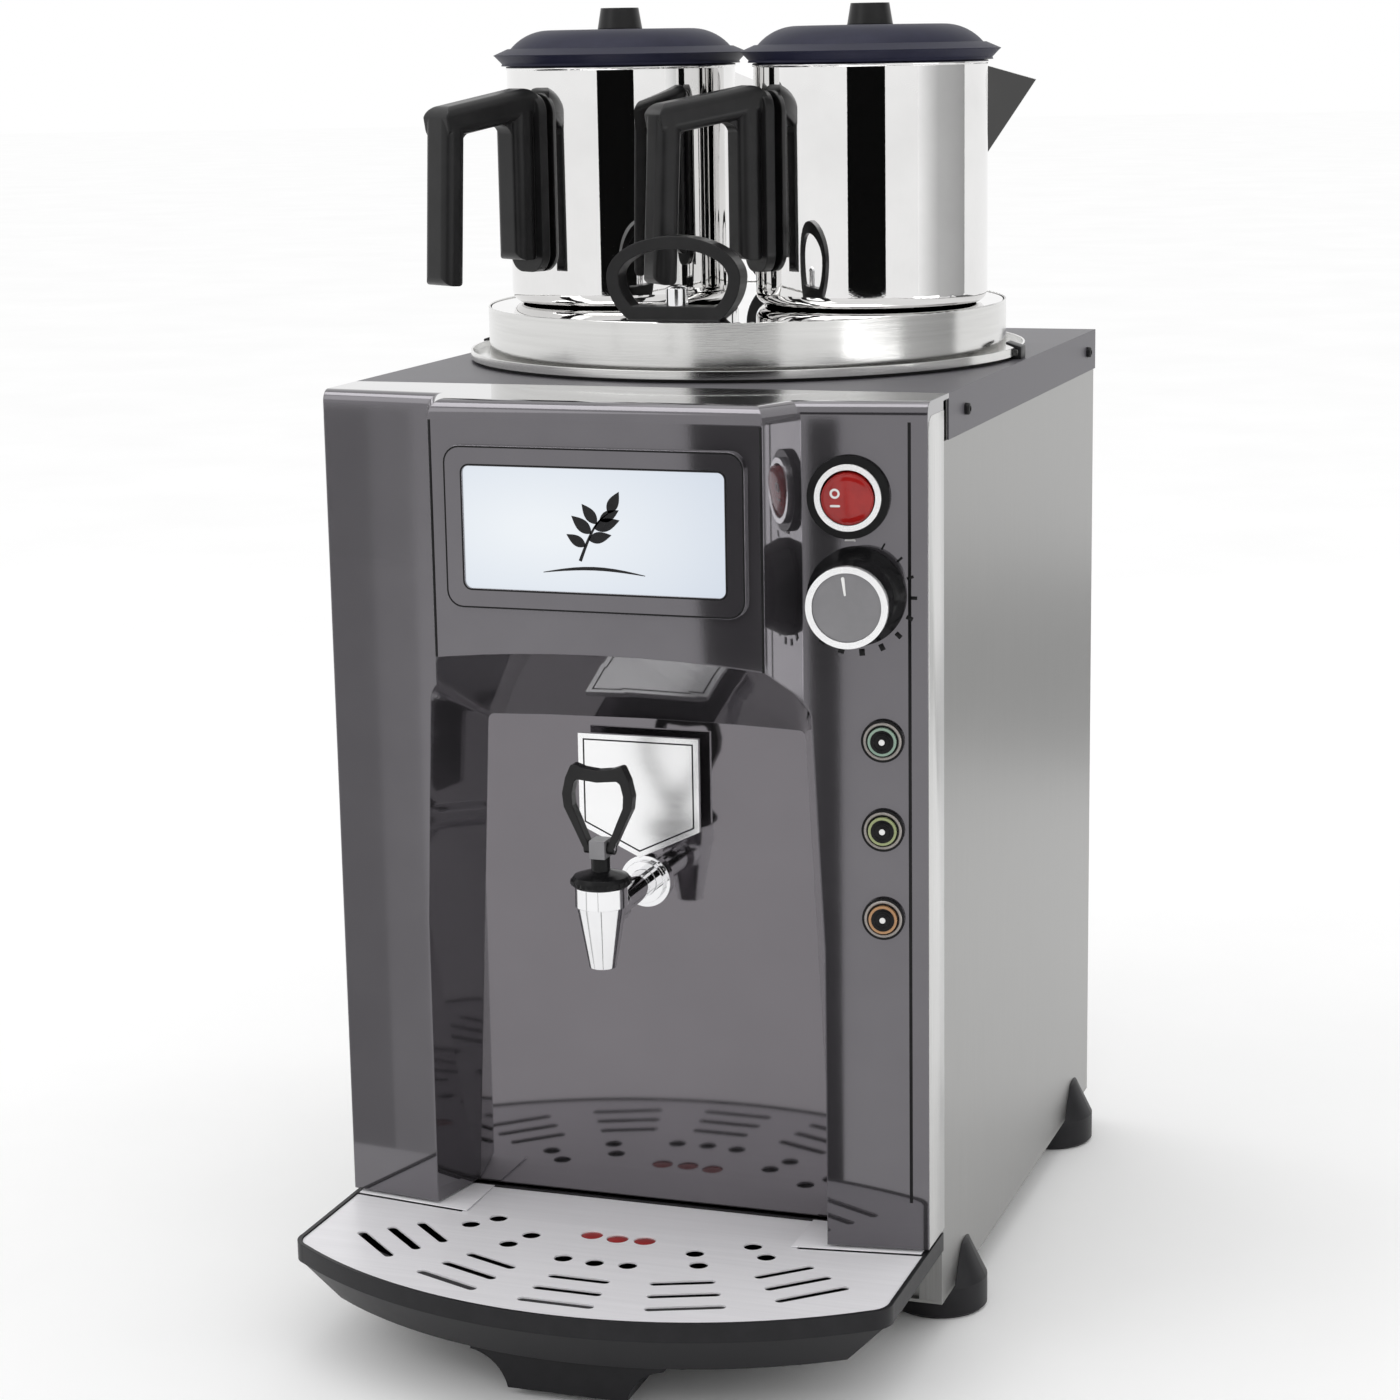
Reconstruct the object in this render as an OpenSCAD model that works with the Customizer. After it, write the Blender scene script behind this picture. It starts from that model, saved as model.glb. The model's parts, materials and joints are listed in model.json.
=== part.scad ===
// Countertop tea maker: a boiler in a steel housing, a tap in a front niche and two teapots on the boiler's lid.
// Millimetres, +Z up. The origin lies on the floor under the middle of the whole object.

/* [Housing] */
// Width across the fascia and the top cover
body_w = 360; // [340:1:400]
// Depth from the fascia's side corners to the rear panel's outside
body_d = 440; // [420:1:480]
// Height of the top cover above the floor
body_top = 554; // [540:1:605]
// Height of the base pan's underside above the floor
base_z = 21; // [17:1:25]
// Thickness of the folded steel sheets
sheet = 1.2; // [0.8:0.1:2]
// Thickness of the base pan
pan_t = 2; // [1.5:0.5:3]
// Height of the flange folded down from the top cover
cover_flange = 26; // [20:1:32]
// Width of the side panels' folded edges
fold_w = 14; // [10:1:18]

/* [Fascia] */
// Wall of the moulded fascia
fascia_wall = 3; // [2:0.5:4]
// Height of the columns' feet above the floor
fascia_bottom = 68; // [65:1:73]
// Depth of the fascia's side returns
return_depth = 34; // [30:1:40]
// Depth of the fascia's roof, where the top cover begins
roof_depth = 46; // [42:1:56]
// Radius of the rolled lip along the columns' top edge
lip_r = 7; // [5:0.5:8]
// Radius of the rolled lip along the screen panel's top edge
panel_lip_r = 10; // [8.5:0.5:12]
// Width of a column at its top
column_w = 69; // [68:1:76]
// Width of a column at its foot
column_foot_w = 58; // [52:1:62]
// How far the creases stand in front of the fascia's side corners
crease_out = 9; // [5:1:14]
// Width of the screen panel's slanted cheeks
cheek_w = 13; // [9:1:17]
// How far the screen panel stands in front of the fascia's side corners
panel_out = 38; // [28:1:46]

/* [Niche] */
// Depth of the niche's back panel behind the fascia's side corners
niche_depth = 36; // [30:1:40]
// Height of the arch at its middle
arch_z = 413; // [401:1:419]
// How much lower the arch is at its ends
arch_rise = 7; // [3:1:12]
// Corner radius of the arch
arch_corner = 18; // [10:1:26]
// Height of the ceiling at the back panel
ceiling_back = 362; // [357:1:380]
// How much the niche narrows on each side towards its back, at the ceiling
taper_top = 13; // [7:1:21]
// How much the niche narrows on each side towards its back, at the foot
taper_foot = 9; // [5:1:14]
// Thickness of the back panel
back_t = 2; // [1.5:0.5:4]

/* [Name plate] */
// Width of the bare shield-shaped plate
plate_w = 74; // [60:1:84]
// Height of the plate's straight sides
plate_side = 55; // [40:1:58]
// Height of the plate's point below its sides
plate_point = 17.5; // [14:0.5:24]
// Distance from the tap's axis up to the plate's point
plate_rise = 16.5; // [12:0.5:20]
// Gap between the plate and the back panel
plate_gap = 9; // [8:1:16]
// Thickness of the plate
plate_t = 3; // [1.5:0.5:4]

/* [Screen] */
// Distance of the lit window from the ends of the screen panel's flat front
screen_side = 21; // [18:1:33]
// Height of the lit window
screen_h = 69; // [60:1:74]
// Height of the window's middle above the floor
screen_z = 483.5; // [473:0.5:489]
// Width of the bezel's border round the window
bezel_border = 11.5; // [10:0.5:13]
// How far the bezel stands in front of the panel
bezel_out = 3; // [2:0.5:5]
// Thickness of the window
lens_t = 2.5; // [2:0.5:4]

/* [Controls] */
// Distance of the power switch from the housing's side
switch_inset = 43; // [38:1:45]
// Height of the power switch
switch_z = 502; // [499:1:513]
// Diameter of the power switch's flange
switch_d = 46; // [40:1:48]
// Diameter of the red rocker
rocker_d = 29; // [24:1:30]
// Distance of the thermostat knob from the housing's side
knob_inset = 39; // [33:1:40]
// Height of the thermostat knob
knob_z = 447; // [437:1:448]
// Diameter of the knob's skirt at the panel
skirt_d = 55; // [48:1:58]
// Diameter of the knob's face
knob_d = 45; // [38:1:46]
// Height of the knob
knob_h = 38; // [30:1:44]
// Distance of the push buttons from the housing's side
button_inset = 25; // [20:1:30]
// Height of the lowest push button
button_z = 264; // [245:1:285]
// Spacing of the push buttons
button_step = 51; // [40:1:54]
// Diameter of a push button's ring
button_d = 24; // [22:1:28]
// Travel of a push button
button_travel = 2; // [1:0.5:3]

/* [Tap] */
// Height of the tap's shank above the floor
tap_z = 265; // [250:1:271]
// How far the tap's outlet stands in front of the fascia's side corners
tap_out = 40; // [34:1:50]
// Diameter of the threaded shank
shank_d = 16; // [14:1:18]
// Diameter of the tap's waterway
water_d = 9; // [7:1:10]
// Diameter of the chrome flange on the back panel
flange_d = 31; // [28:1:36]
// Diameter of the tap's body
tap_d = 30; // [29:1:33]
// Length of the tapered nozzle
nozzle_l = 36; // [28:1:42]
// Diameter of the nozzle's tip
nozzle_d = 15.4; // [13:0.2:17]
// Width of the lever's loop
lever_w = 42; // [34:1:46]
// Height of the lever above its pivot
lever_h = 48.5; // [42:0.5:56]

/* [Drip tray] */
// Reach of the tray in front of the fascia's side corners
tray_reach = 147; // [130:1:160]
// Radius of the tray's curved front
tray_front_r = 290; // [260:1:340]
// Corner radius of the tray
tray_corner = 16; // [10:1:24]
// Height of the tray's rim above the floor
tray_top = 66; // [63:1:67]
// Height of the tray's underside above the floor
tray_bottom = 31; // [29:1:37]
// Height of the tray's upright rim band
rim_h = 11; // [9:1:15]
// Thickness of the tray's rim
rim_t = 2.6; // [2:0.2:4]
// Thickness of the drip plate
drip_t = 1.2; // [1:0.1:2]
// Width of a drain slot
slot_w = 6; // [4:0.5:8]
// Diameter of a drain hole
drain_d = 11; // [8:0.5:13]

/* [Boiler] */
// Outer diameter of the tank
tank_d = 304; // [290:2:308]
// Wall of the tank
tank_wall = 1; // [0.8:0.1:2]
// Distance of the tank's axis in front of the top cover's middle
tank_shift = 3; // [0:1:8]
// Depth of the tank's bottom below the tap's shank
tank_sump = 20; // [18:1:60]
// Height of the collar above the top cover
collar_h = 34; // [28:1:44]
// Width of the collar's flange outside the collar
collar_flange = 11.8; // [8:0.2:14]
// Gap between the tank and the outside of the collar
collar_gap = 9.7; // [9:0.1:12]

/* [Teapots] */
// Distance of each pot's axis from the middle
pot_x = 81; // [80:1:84]
// Diameter of a pot
pot_d = 143; // [132:1:146]
// Height of a pot without its lid
pot_h = 146; // [130:1:165]
// Wall of a pot
pot_wall = 1; // [0.8:0.1:1.6]
// Diameter of a pot's lid
pot_lid_d = 159; // [153:1:159]
// Height of a pot's lid above the pot's rim
pot_lid_h = 21.5; // [16:0.5:26]
// Turn of the left pot's handle from straight left towards the front, in degrees
left_turn = 60; // [50:1:70]
// Turn of the right pot's handle from straight left towards the front, in degrees
right_turn = 43; // [36:1:56]
// Reach of the handle's grip from the pot's wall, at the grip's foot
handle_reach = 78.5; // [68:0.5:84]
// Thickness of the handle's grip and post
bar_t = 15.5; // [14:0.5:18]
// Width of the handle
bar_w = 23.5; // [18:0.5:26]
// Thickness of the handle's arm
arm_t = 18.5; // [16:0.5:22]
// Slope of the handle's arm down to the grip, in degrees
arm_slope = 9.5; // [4:0.5:12]
// Lean of the handle's grip away from the pot, in degrees
grip_lean = 2.7; // [0:0.1:5]
// Reach of the beak from the pot's wall
spout_out = 45; // [30:1:48]

/* [Feet] */
// Radius of a corner foot
foot_r = 29; // [24:1:32]
// Radius of a corner foot's top
foot_top_r = 17; // [16:1:22]
// Height of a corner foot's upright band
foot_band = 19; // [12:1:21]
// Height of a corner foot with its tongue
foot_h = 43; // [36:1:60]
// Distance of a foot's axis from the housing's side
foot_inset = 17; // [14:1:17]
// Distance of the front feet behind the fascia's side corners
front_foot_y = 88; // [68:1:110]
// Distance of the rear feet in front of the rear panel
rear_foot_back = 48; // [36:1:100]

/* [Hidden] */
$fn = 96;

// Clearances
seat_gap = 0.3;
run_gap = 0.08;
slip_gap = 0.2;

// Overall placing
gland_out = 12;
half_w = body_w / 2;
front_y = -(body_d + gland_out - tray_reach) / 2;
far = 1000;

// Fascia
crease_half = half_w - column_w;
crease_foot = half_w - column_foot_w;
panel_half = crease_half - cheek_w;
back_half_top = crease_half - taper_top;
back_half_foot = crease_foot - taper_foot;
column_angle = atan(crease_out / (half_w - crease_half));
centre_y = -half_w * tan(column_angle);
cheek_angle = atan2(panel_out - crease_out, crease_half - panel_half);
panel_foot = arch_z - arch_rise - 4 * arch_corner;
niche_front = -(panel_out + 4);

function column_y(x) = -(half_w - x) * tan(column_angle);
function crease_at(z) = crease_half + (crease_foot - crease_half) * (body_top - z) / (body_top - fascia_bottom);
function back_half(z) = back_half_foot
    - (back_half_foot - back_half_top) * (z - fascia_bottom) / (ceiling_back - fascia_bottom);
function mouth_half(z) = back_half(z)
    + (crease_at(z) - back_half(z)) * (niche_depth - niche_front) / (niche_depth + crease_out);

// Housing
side_face = half_w - sheet;
pan_top = base_z + pan_t;
pan_front = niche_depth + back_t + slip_gap;
cover_under = body_top - sheet;

// Boiler
tank_r = tank_d / 2;
tank_back = (body_d + roof_depth) / 2 - tank_shift;
tank_bottom = tap_z - tank_sump;
collar_r = tank_r + collar_gap;
flange_r = collar_r + collar_flange;
collar_in = collar_r - sheet;
seal_t = 2;
collar_foot = body_top + seal_t;
collar_top = body_top + collar_h;
ledge_z = collar_top - 8;
tank_top = ledge_z + sheet;
lid_top = collar_top - 0.8;
lid_r = collar_in - 0.7;
pot_z = lid_top + slip_gap;
cover_hole_r = tank_r + 5;
lid_handle_y = lid_r - 27;

// Tap
shank_r = shank_d / 2;
tap_r = tap_d / 2;
water_r = water_d / 2;
block_low = tap_z + 5;
block_high = block_low + 11.5;
chamber_r = tap_r - 5;
seat_z = tap_z - 8;
neck_r = 5.4;
neck_z = block_high + 9;
yoke_z = neck_z + 7.5;
yoke_w = 9.2;
yoke_d = 12;
yoke_h = 10.5;
pin_z = yoke_z + 5.5;
pin_r = 1.5;
stem_r = 2.5;
leg_t = 4;
lever_t = 7;
shank_front = tap_r - 2.5;
shank_back = niche_depth + back_t + 26;
nut_t = 9;

// Drip tray
drip_top = tray_top - 0.8;
drip_seat = drip_top - drip_t;
tray_rear = return_depth - seat_gap;
tray_lift = 5;
tray_foot_half = half_w / 3 - 2;
tray_centre = tray_front_r - tray_reach;
tongue_half = back_half_foot - 8;
runner_x = tongue_half - 5;
runner_w = 16;

// Control places
switch_x = half_w - switch_inset;
knob_x = half_w - knob_inset;
button_x = half_w - button_inset;
button_heights = [button_z + 2 * button_step, button_z + button_step, button_z];

// Shared shapes
module at_front() translate([0, front_y, 0]) children();

module both_sides() {
    children();
    mirror([1, 0, 0]) children();
}

// Outline in x and z, drawn from y_from over a depth
module slab(y_from, depth) translate([0, y_from + depth, 0]) rotate([90, 0, 0]) linear_extrude(depth) children();

// Round bar along y
module bar_y(r, y_from, y_to) slab(y_from, y_to - y_from) circle(r);

module rounded_rect(w, h, r) {
    square([w - 2 * r, h], center = true);
    square([w, h - 2 * r], center = true);
    for (sx = [-1, 1], sy = [-1, 1]) translate([sx * (w / 2 - r), sy * (h / 2 - r)]) circle(r);
}

module tube(r_out, r_in, z_from, z_to) {
    difference() {
        translate([0, 0, z_from]) cylinder(r = r_out, h = z_to - z_from);
        translate([0, 0, z_from - 1]) cylinder(r = r_in, h = z_to - z_from + 2);
    }
}

module at_tank() at_front() translate([0, tank_back, 0]) children();

module at_tap() at_front() translate([0, -tap_out, 0]) children();

// Local frame on the right column's face: x along the face, +y into the column
module on_column(x, z) at_front() translate([x, column_y(x), z]) rotate([0, 0, column_angle]) children();

// Block behind a vertical face at y = 0, along +x, with its top front edge rolled over
module rolled_block(length, depth, z_from, z_to, r) {
    rotate([90, 0, 90]) linear_extrude(length) {
        translate([0, z_from]) square([depth, z_to - r - z_from]);
        translate([r, z_from]) square([depth - r, z_to - z_from]);
        translate([r, z_to - r]) circle(r);
    }
}

// The fascia filled solid, its faces moved in by inset
module fascia_solid(inset, y_end) {
    top = body_top - inset;
    r = lip_r - inset;
    panel_r = panel_lip_r - inset;
    both_sides() intersection() {
        translate([0, centre_y, 0]) rotate([0, 0, column_angle]) translate([-20, inset, 0])
            rolled_block(body_w, 3 * roof_depth, fascia_bottom + inset, top, r);
        translate([-10, -far, 0]) cube([half_w - inset + 10, far + y_end, far]);
    }
    intersection() {
        translate([-half_w, inset - panel_out, 0]) rolled_block(2 * half_w, panel_out, panel_foot, top, panel_r);
        both_cheeks(inset, top, panel_r);
    }
}

// Room between the screen panel's two slanted cheeks
module both_cheeks(inset, top, r) {
    intersection_for (side = [0, 1]) {
        mirror([side, 0, 0]) translate([panel_half, -panel_out, 0]) rotate([0, 0, cheek_angle])
            translate([-half_w, inset, 0]) rolled_block(2 * half_w, 2 * half_w, panel_foot - 1, top, r);
    }
}

module niche_section(half_foot, half_top, crown, rise, r) {
    shoulder = crown - rise - r;
    reach = half_top - r;
    arch_r = (reach * reach + rise * rise) / (2 * rise);
    polygon([[-half_foot, fascia_bottom - 10], [half_foot, fascia_bottom - 10], [half_top, shoulder], [-half_top, shoulder]]);
    for (side = [-1, 1]) translate([side * reach, shoulder]) circle(r, $fn = 32);
    intersection() {
        translate([0, crown - arch_r]) circle(arch_r, $fn = 240);
        translate([-reach, shoulder]) square([2 * reach, rise + r]);
    }
}

// The niche's hollow, from its mouth back to the back panel, its faces moved out by grow
module niche_hollow(grow) {
    hull() {
        slab(niche_front, 0.1) niche_section(mouth_half(fascia_bottom) + grow, mouth_half(arch_z - 20) + grow,
            arch_z + 3 + grow, arch_rise, arch_corner + grow);
        slab(niche_depth, 0.1) niche_section(back_half_foot + grow, back_half_top + grow,
            ceiling_back + grow, 2, 4 + grow);
    }
}

// Housing
module front_fascia() color("#69656b") at_front() difference() {
    union() {
        difference() {
            fascia_solid(0, roof_depth);
            fascia_solid(fascia_wall, far);
            translate([-half_w, return_depth, 0]) cube([body_w, far, body_top - fascia_wall]);
        }
        intersection() {
            fascia_solid(0, niche_depth);
            niche_hollow(fascia_wall);
        }
    }
    niche_hollow(0);
    slab(-panel_out - 1, fascia_wall + 2) translate([0, screen_z])
        rounded_rect(spigot_w + slip_gap, spigot_h + slip_gap, 6);
    translate([0, -front_y, 0]) control_holes();
}

module control_holes() {
    on_column(switch_x, switch_z) bar_y(switch_barrel_r + slip_gap, -2, 8);
    on_column(knob_x, knob_z) bar_y(bush_r + slip_gap, -2, 8);
    for (z = button_heights) on_column(button_x, z) bar_y(button_barrel_r + slip_gap, -2, 8);
}

module niche_back_panel() color("#6f6b70") at_front() difference() {
    slab(niche_depth, back_t) polygon([
        [-back_half_foot - 6, fascia_bottom - 1], [back_half_foot + 6, fascia_bottom - 1],
        [back_half_top + 6, ceiling_back + 6], [-back_half_top - 6, ceiling_back + 6]]);
    translate([0, 0, tap_z]) bar_y(shank_r + slip_gap, 0, 2 * niche_depth);
}

module side_panel() at_front() difference() {
    translate([0, 0, pan_top]) linear_extrude(cover_under - pan_top) {
        translate([side_face - sheet, return_depth]) square([sheet, body_d - sheet - return_depth]);
        translate([side_face - fold_w, return_depth]) square([fold_w, sheet]);
        translate([side_face - fold_w, body_d - 2 * sheet]) square([fold_w, sheet]);
    }
    translate([0, return_depth - 1, body_top - cover_flange])
        cube([half_w, roof_depth - return_depth + 1, cover_flange]);
}

module side_panel_right() color("#b9b8b4") side_panel();

module side_panel_left() color("#b9b8b4") mirror([1, 0, 0]) side_panel();

module top_cover() color("#69656b") at_front() difference() {
    union() {
        translate([-half_w, roof_depth, cover_under]) cube([body_w, body_d - roof_depth, sheet]);
        both_sides() translate([side_face, roof_depth, body_top - cover_flange])
            cube([sheet, body_d - roof_depth, cover_flange]);
    }
    translate([0, tank_back, cover_under - 1]) cylinder(r = cover_hole_r, h = sheet + 2);
}

louvre_w = 70;
louvre_h = 5;
louvre_step = 14;
louvre_rows = 9;
louvre_z = 0.7 * body_top;
gland_x = half_w - 60;
gland_z = base_z + 54;
gland_r = 8;

module rear_panel() color("#b9b8b4") at_front() difference() {
    slab(body_d - sheet, sheet) difference() {
        translate([-side_face, pan_top]) square([2 * side_face, cover_under - pan_top]);
        for (side = [-1, 1], row = [0 : louvre_rows - 1])
            translate([side * half_w / 2, louvre_z + (row - (louvre_rows - 1) / 2) * louvre_step])
                rounded_rect(louvre_w, louvre_h, louvre_h / 2 - 0.1);
        translate([-gland_x, gland_z]) circle(gland_r + slip_gap);
    }
}

module base_pan() color("#8d8d8c") at_front() {
    translate([-side_face, return_depth, base_z]) cube([2 * side_face, body_d - return_depth, pan_t]);
    slab(pan_front, pan_t) translate([-side_face + fold_w + 1, base_z])
        square([2 * (side_face - fold_w - 1), fascia_bottom - 4 - base_z]);
    both_sides() translate([runner_x, -tray_reach / 2, tray_bottom - seat_gap - pan_t])
        cube([runner_w, tray_reach / 2 + pan_front + 1, pan_t]);
}

// Round foot under the housing; the part that rises past the base pan lies against the side panel
module corner_foot(y) translate([0, y, 0]) difference() {
    translate([half_w - foot_inset, 0, 0]) rotate_extrude() polygon([
        [0, 0], [foot_r - 2, 0], [foot_r, 2], [foot_r, foot_band], [foot_top_r + 1.5, foot_h - 2], [foot_top_r - 1, foot_h],
        [0, foot_h]]);
    translate([0, -far / 2, base_z]) cube([side_face, far, far]);
}

module corner_feet() color("#2c2b2e") at_front() both_sides() {
    corner_foot(front_foot_y);
    corner_foot(body_d - rear_foot_back);
}

screw_r = 3.4;
screw_head = 1.8;
cover_screw_y = [roof_depth + 38, body_d - 26];
rear_screw_z = [base_z + 44, body_top / 2 + 18, body_top - 29];

module housing_screws() color("#2b2b2d") at_front() {
    both_sides() for (y = cover_screw_y) translate([half_w, y, body_top - cover_flange / 2]) rotate([0, 90, 0])
        cylinder(r = screw_r, h = screw_head);
    both_sides() for (z = rear_screw_z) translate([side_face - fold_w / 2, 0, z])
        bar_y(screw_r, body_d, body_d + screw_head);
}

module cable_gland() color("#2b2b2d") at_front() translate([-gland_x, 0, gland_z]) difference() {
    union() {
        bar_y(gland_r, body_d - sheet - 8, body_d + 2);
        slab(body_d - sheet - 6, 6) circle(gland_r + 4, $fn = 6);
        slab(body_d, 7) circle(gland_r + 4, $fn = 6);
        bar_y(gland_r - 1, body_d, body_d + gland_out);
    }
    bar_y(4, 0, 2 * body_d);
}

// Boiler
element_r = 0.66 * tank_r;
element_tube = 4;
element_z = tank_bottom + tank_sump;
element_leg = 1.2 * tank_sump;
element_gap = 10;
probe_x = 0.4 * tank_r;
probe_z = tank_bottom + 2.4 * tank_sump;
probe_r = 4;

module tank() color("#b4b4b2") at_tank() difference() {
    union() {
        translate([0, 0, tank_bottom + tank_wall]) cylinder(r = tank_r, h = tank_top - tank_bottom - tank_wall);
        translate([0, 0, ledge_z]) cylinder(r = lid_r, h = sheet);
    }
    translate([0, 0, tank_bottom]) cylinder(r = tank_r - tank_wall, h = far);
    translate([0, 0, tap_z]) bar_y(water_r, -far, 0);
    translate([probe_x, 0, probe_z]) bar_y(probe_r + slip_gap, -far, 0);
}

module tank_floor() color("#b4b4b2") at_tank() difference() {
    translate([0, 0, tank_bottom]) cylinder(r = tank_r, h = tank_wall);
    element_legs(element_tube + slip_gap);
}

module element_legs(r) {
    for (side = [-1, 1]) rotate([0, 0, 90 + side * element_gap])
        translate([element_r, 0, tank_bottom - element_leg]) cylinder(r = r, h = element_z - tank_bottom + element_leg);
}

module heating_element() color("#77716c") at_tank() {
    element_legs(element_tube);
    translate([0, 0, element_z]) rotate([0, 0, 90 + element_gap]) rotate_extrude(angle = 360 - 2 * element_gap)
        translate([element_r, 0]) circle(element_tube);
    for (side = [-1, 1]) rotate([0, 0, 90 + side * element_gap]) translate([element_r, 0, element_z])
        sphere(element_tube);
}

module element_flange() color("#a8915a") at_tank() difference() {
    translate([0, element_r, tank_bottom - element_leg / 4]) cylinder(r = 0.3 * element_r, h = element_leg / 4);
    element_legs(element_tube + slip_gap);
}

module temperature_probe() color("#a77b4f") at_tank() translate([probe_x, 0, probe_z]) {
    bar_y(probe_r, -tank_r - 6, -tank_r + 0.7 * element_r);
    difference() {
        bar_y(9, -tank_r - 2, -tank_r + 30);
        translate([-probe_x, 0, -far / 2]) cylinder(r = tank_r + slip_gap, h = far);
    }
}

module outlet_pipe() color("#b08a54") at_front() translate([0, 0, tap_z]) difference() {
    bar_y(shank_r + 3, shank_back - 10, tank_back);
    bar_y(shank_r + run_gap, shank_back - 11, shank_back + seat_gap);
    bar_y(water_r, 0, tank_back + 1);
    translate([0, tank_back, -far / 2]) cylinder(r = tank_r + slip_gap, h = far);
}

module tank_seal() color("#1d1d1f") at_tank() tube(flange_r - 3.5, cover_hole_r + 1, body_top, collar_foot);

module tank_collar() color("#c6c5c1") at_tank() rotate_extrude() {
    translate([cover_hole_r, collar_foot]) square([flange_r - cover_hole_r, sheet]);
    translate([flange_r - sheet, collar_foot]) square([sheet, 5]);
    translate([collar_in, collar_foot]) square([sheet, collar_top - collar_foot - sheet / 2]);
    translate([collar_in + sheet / 2, collar_top - sheet / 2]) circle(sheet / 2);
    translate([tank_r + seat_gap, ledge_z - sheet]) square([collar_in - tank_r - seat_gap + sheet / 2, sheet]);
}

skirt_r = tank_r - tank_wall - 2;
skirt_drop = 0.3 * collar_h;

module tank_lid() color("#d5d5d3") at_tank() {
    translate([0, 0, lid_top - sheet]) cylinder(r = lid_r, h = sheet);
    tube(lid_r, lid_r - sheet, tank_top + seat_gap, lid_top - sheet / 2);
    tube(skirt_r, skirt_r - sheet, tank_top - skirt_drop, lid_top - sheet / 2);
}

// Lid handles: a wide oval loop on a base, with a dome nut in the loop
handle_w = 83;
handle_h = 49;
handle_mid = 25;
handle_t = 14;
handle_base = 8;
handle_bar = 7.5;

module loop_oval(inset) {
    upper = handle_h - handle_mid - inset;
    lower = handle_mid + 9 - inset;
    polygon([for (turn = [0 : 6 : 354]) [
        (handle_w / 2 - inset) * cos(turn),
        handle_mid + (sin(turn) > 0 ? upper : lower) * sin(turn)]]);
}

module lid_handle() translate([0, 0, lid_top]) slab(-handle_t / 2, handle_t) intersection() {
    difference() {
        loop_oval(0);
        intersection() {
            loop_oval(handle_bar);
            translate([-handle_w, handle_base]) square([2 * handle_w, handle_h]);
        }
    }
    translate([-handle_w, 0]) square([2 * handle_w, handle_h + 1]);
}

module lid_handle_front() color("#232325") at_tank() translate([0, -lid_handle_y, 0]) lid_handle();

module lid_handle_rear() color("#232325") at_tank() translate([0, lid_handle_y, 0]) lid_handle();

nut_r = 10.5;
nut_foot = 2;

module dome_nut() translate([0, 0, lid_top + handle_base]) intersection() {
    translate([0, 0, nut_foot]) sphere(nut_r);
    cylinder(r = handle_t / 2 - 0.5, h = nut_r + nut_foot);
}

module handle_nuts() color("#d8d8d8") at_tank() for (side = [-1, 1]) translate([0, side * lid_handle_y, 0]) dome_nut();

// Tap
module tap_flange() color("#d8d8d8") at_front() translate([0, 0, tap_z]) difference() {
    union() {
        bar_y(flange_d / 2, niche_depth - 3.5, niche_depth);
        bar_y(flange_d / 2 - 3, niche_depth - 7, niche_depth);
    }
    bar_y(shank_r + run_gap, -far, far);
}

module tap_shank() color("#c9c9c9") at_front() translate([0, 0, tap_z]) difference() {
    bar_y(shank_r, shank_front - tap_out, shank_back);
    bar_y(water_r, -far, far);
}

module tap_nut() color("#b08a54") at_front() translate([0, 0, tap_z]) difference() {
    slab(niche_depth + back_t, nut_t) circle(shank_r + 6, $fn = 6);
    bar_y(shank_r + run_gap, -far, far);
}

module tap_body() color("#d8d8d8") at_tap() difference() {
    union() {
        translate([0, 0, block_low - nozzle_l]) cylinder(r1 = nozzle_d / 2, r2 = tap_r - 0.8, h = nozzle_l);
        translate([0, 0, block_low]) cylinder(r = tap_r, h = block_high - block_low);
        translate([0, 0, tap_z]) bar_y(shank_r + 2.4, 0, tap_r + 6);
    }
    cylinder(r = water_r, h = tap_z);
    translate([0, 0, seat_z]) cylinder(r = chamber_r, h = far);
    translate([0, 0, tap_z]) bar_y(water_r, 0, far);
    translate([0, 0, tap_z]) bar_y(shank_r + run_gap, shank_front, far);
}

module tap_bonnet() color("#1d1d1f") at_tap() rotate_extrude() {
    guide = stem_r + run_gap;
    rim = tap_r + 2;
    polygon([
        [guide, block_high - 4], [chamber_r - slip_gap, block_high - 4], [chamber_r - slip_gap, block_high],
        [rim - 1.5, block_high], [rim, block_high + 1.5], [rim, block_high + 4], [rim - 1.5, block_high + 6],
        [rim - 6, block_high + 7.5], [neck_r, neck_z], [neck_r, yoke_z], [guide, yoke_z]]);
}

// Post between the lever's legs; the stem rises into its blind bore
module lever_yoke() color("#a5a5a8") at_tap() difference() {
    translate([-yoke_w / 2, -yoke_d / 2, yoke_z]) cube([yoke_w, yoke_d, yoke_h]);
    translate([0, 0, yoke_z - 1]) cylinder(r = stem_r + run_gap, h = 3.5);
    pivot_bore();
}

module pivot_bore() translate([-far / 2, 0, pin_z]) rotate([0, 90, 0]) cylinder(r = pin_r + run_gap, h = far);

leg_in = yoke_w / 2 + seat_gap;
leg_out = leg_in + leg_t;

module lever_pin() color("#c9c9c9") at_tap() translate([-leg_out, 0, pin_z]) rotate([0, 90, 0])
    cylinder(r = pin_r, h = 2 * leg_out);

// Half outlines of the lever's loop as shares of its width and height, from the legs up to the dipped top
loop_outer = [[0.36, 0.27], [0.48, 0.48], [0.5, 0.64], [0.45, 0.83], [0.36, 1], [0.2, 0.95], [0, 0.93]];
loop_inner = [[0.27, 0.32], [0.36, 0.5], [0.37, 0.64], [0.33, 0.78], [0.28, 0.815], [0, 0.79]];

module lever_outline(half, foot) {
    right = concat([[foot, 0]], [for (p = half) [p[0] * lever_w, p[1] * lever_h]]);
    left = [for (i = [len(right) - 2 : -1 : 0]) [-right[i][0], right[i][1]]];
    polygon(concat(right, left));
}

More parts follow.
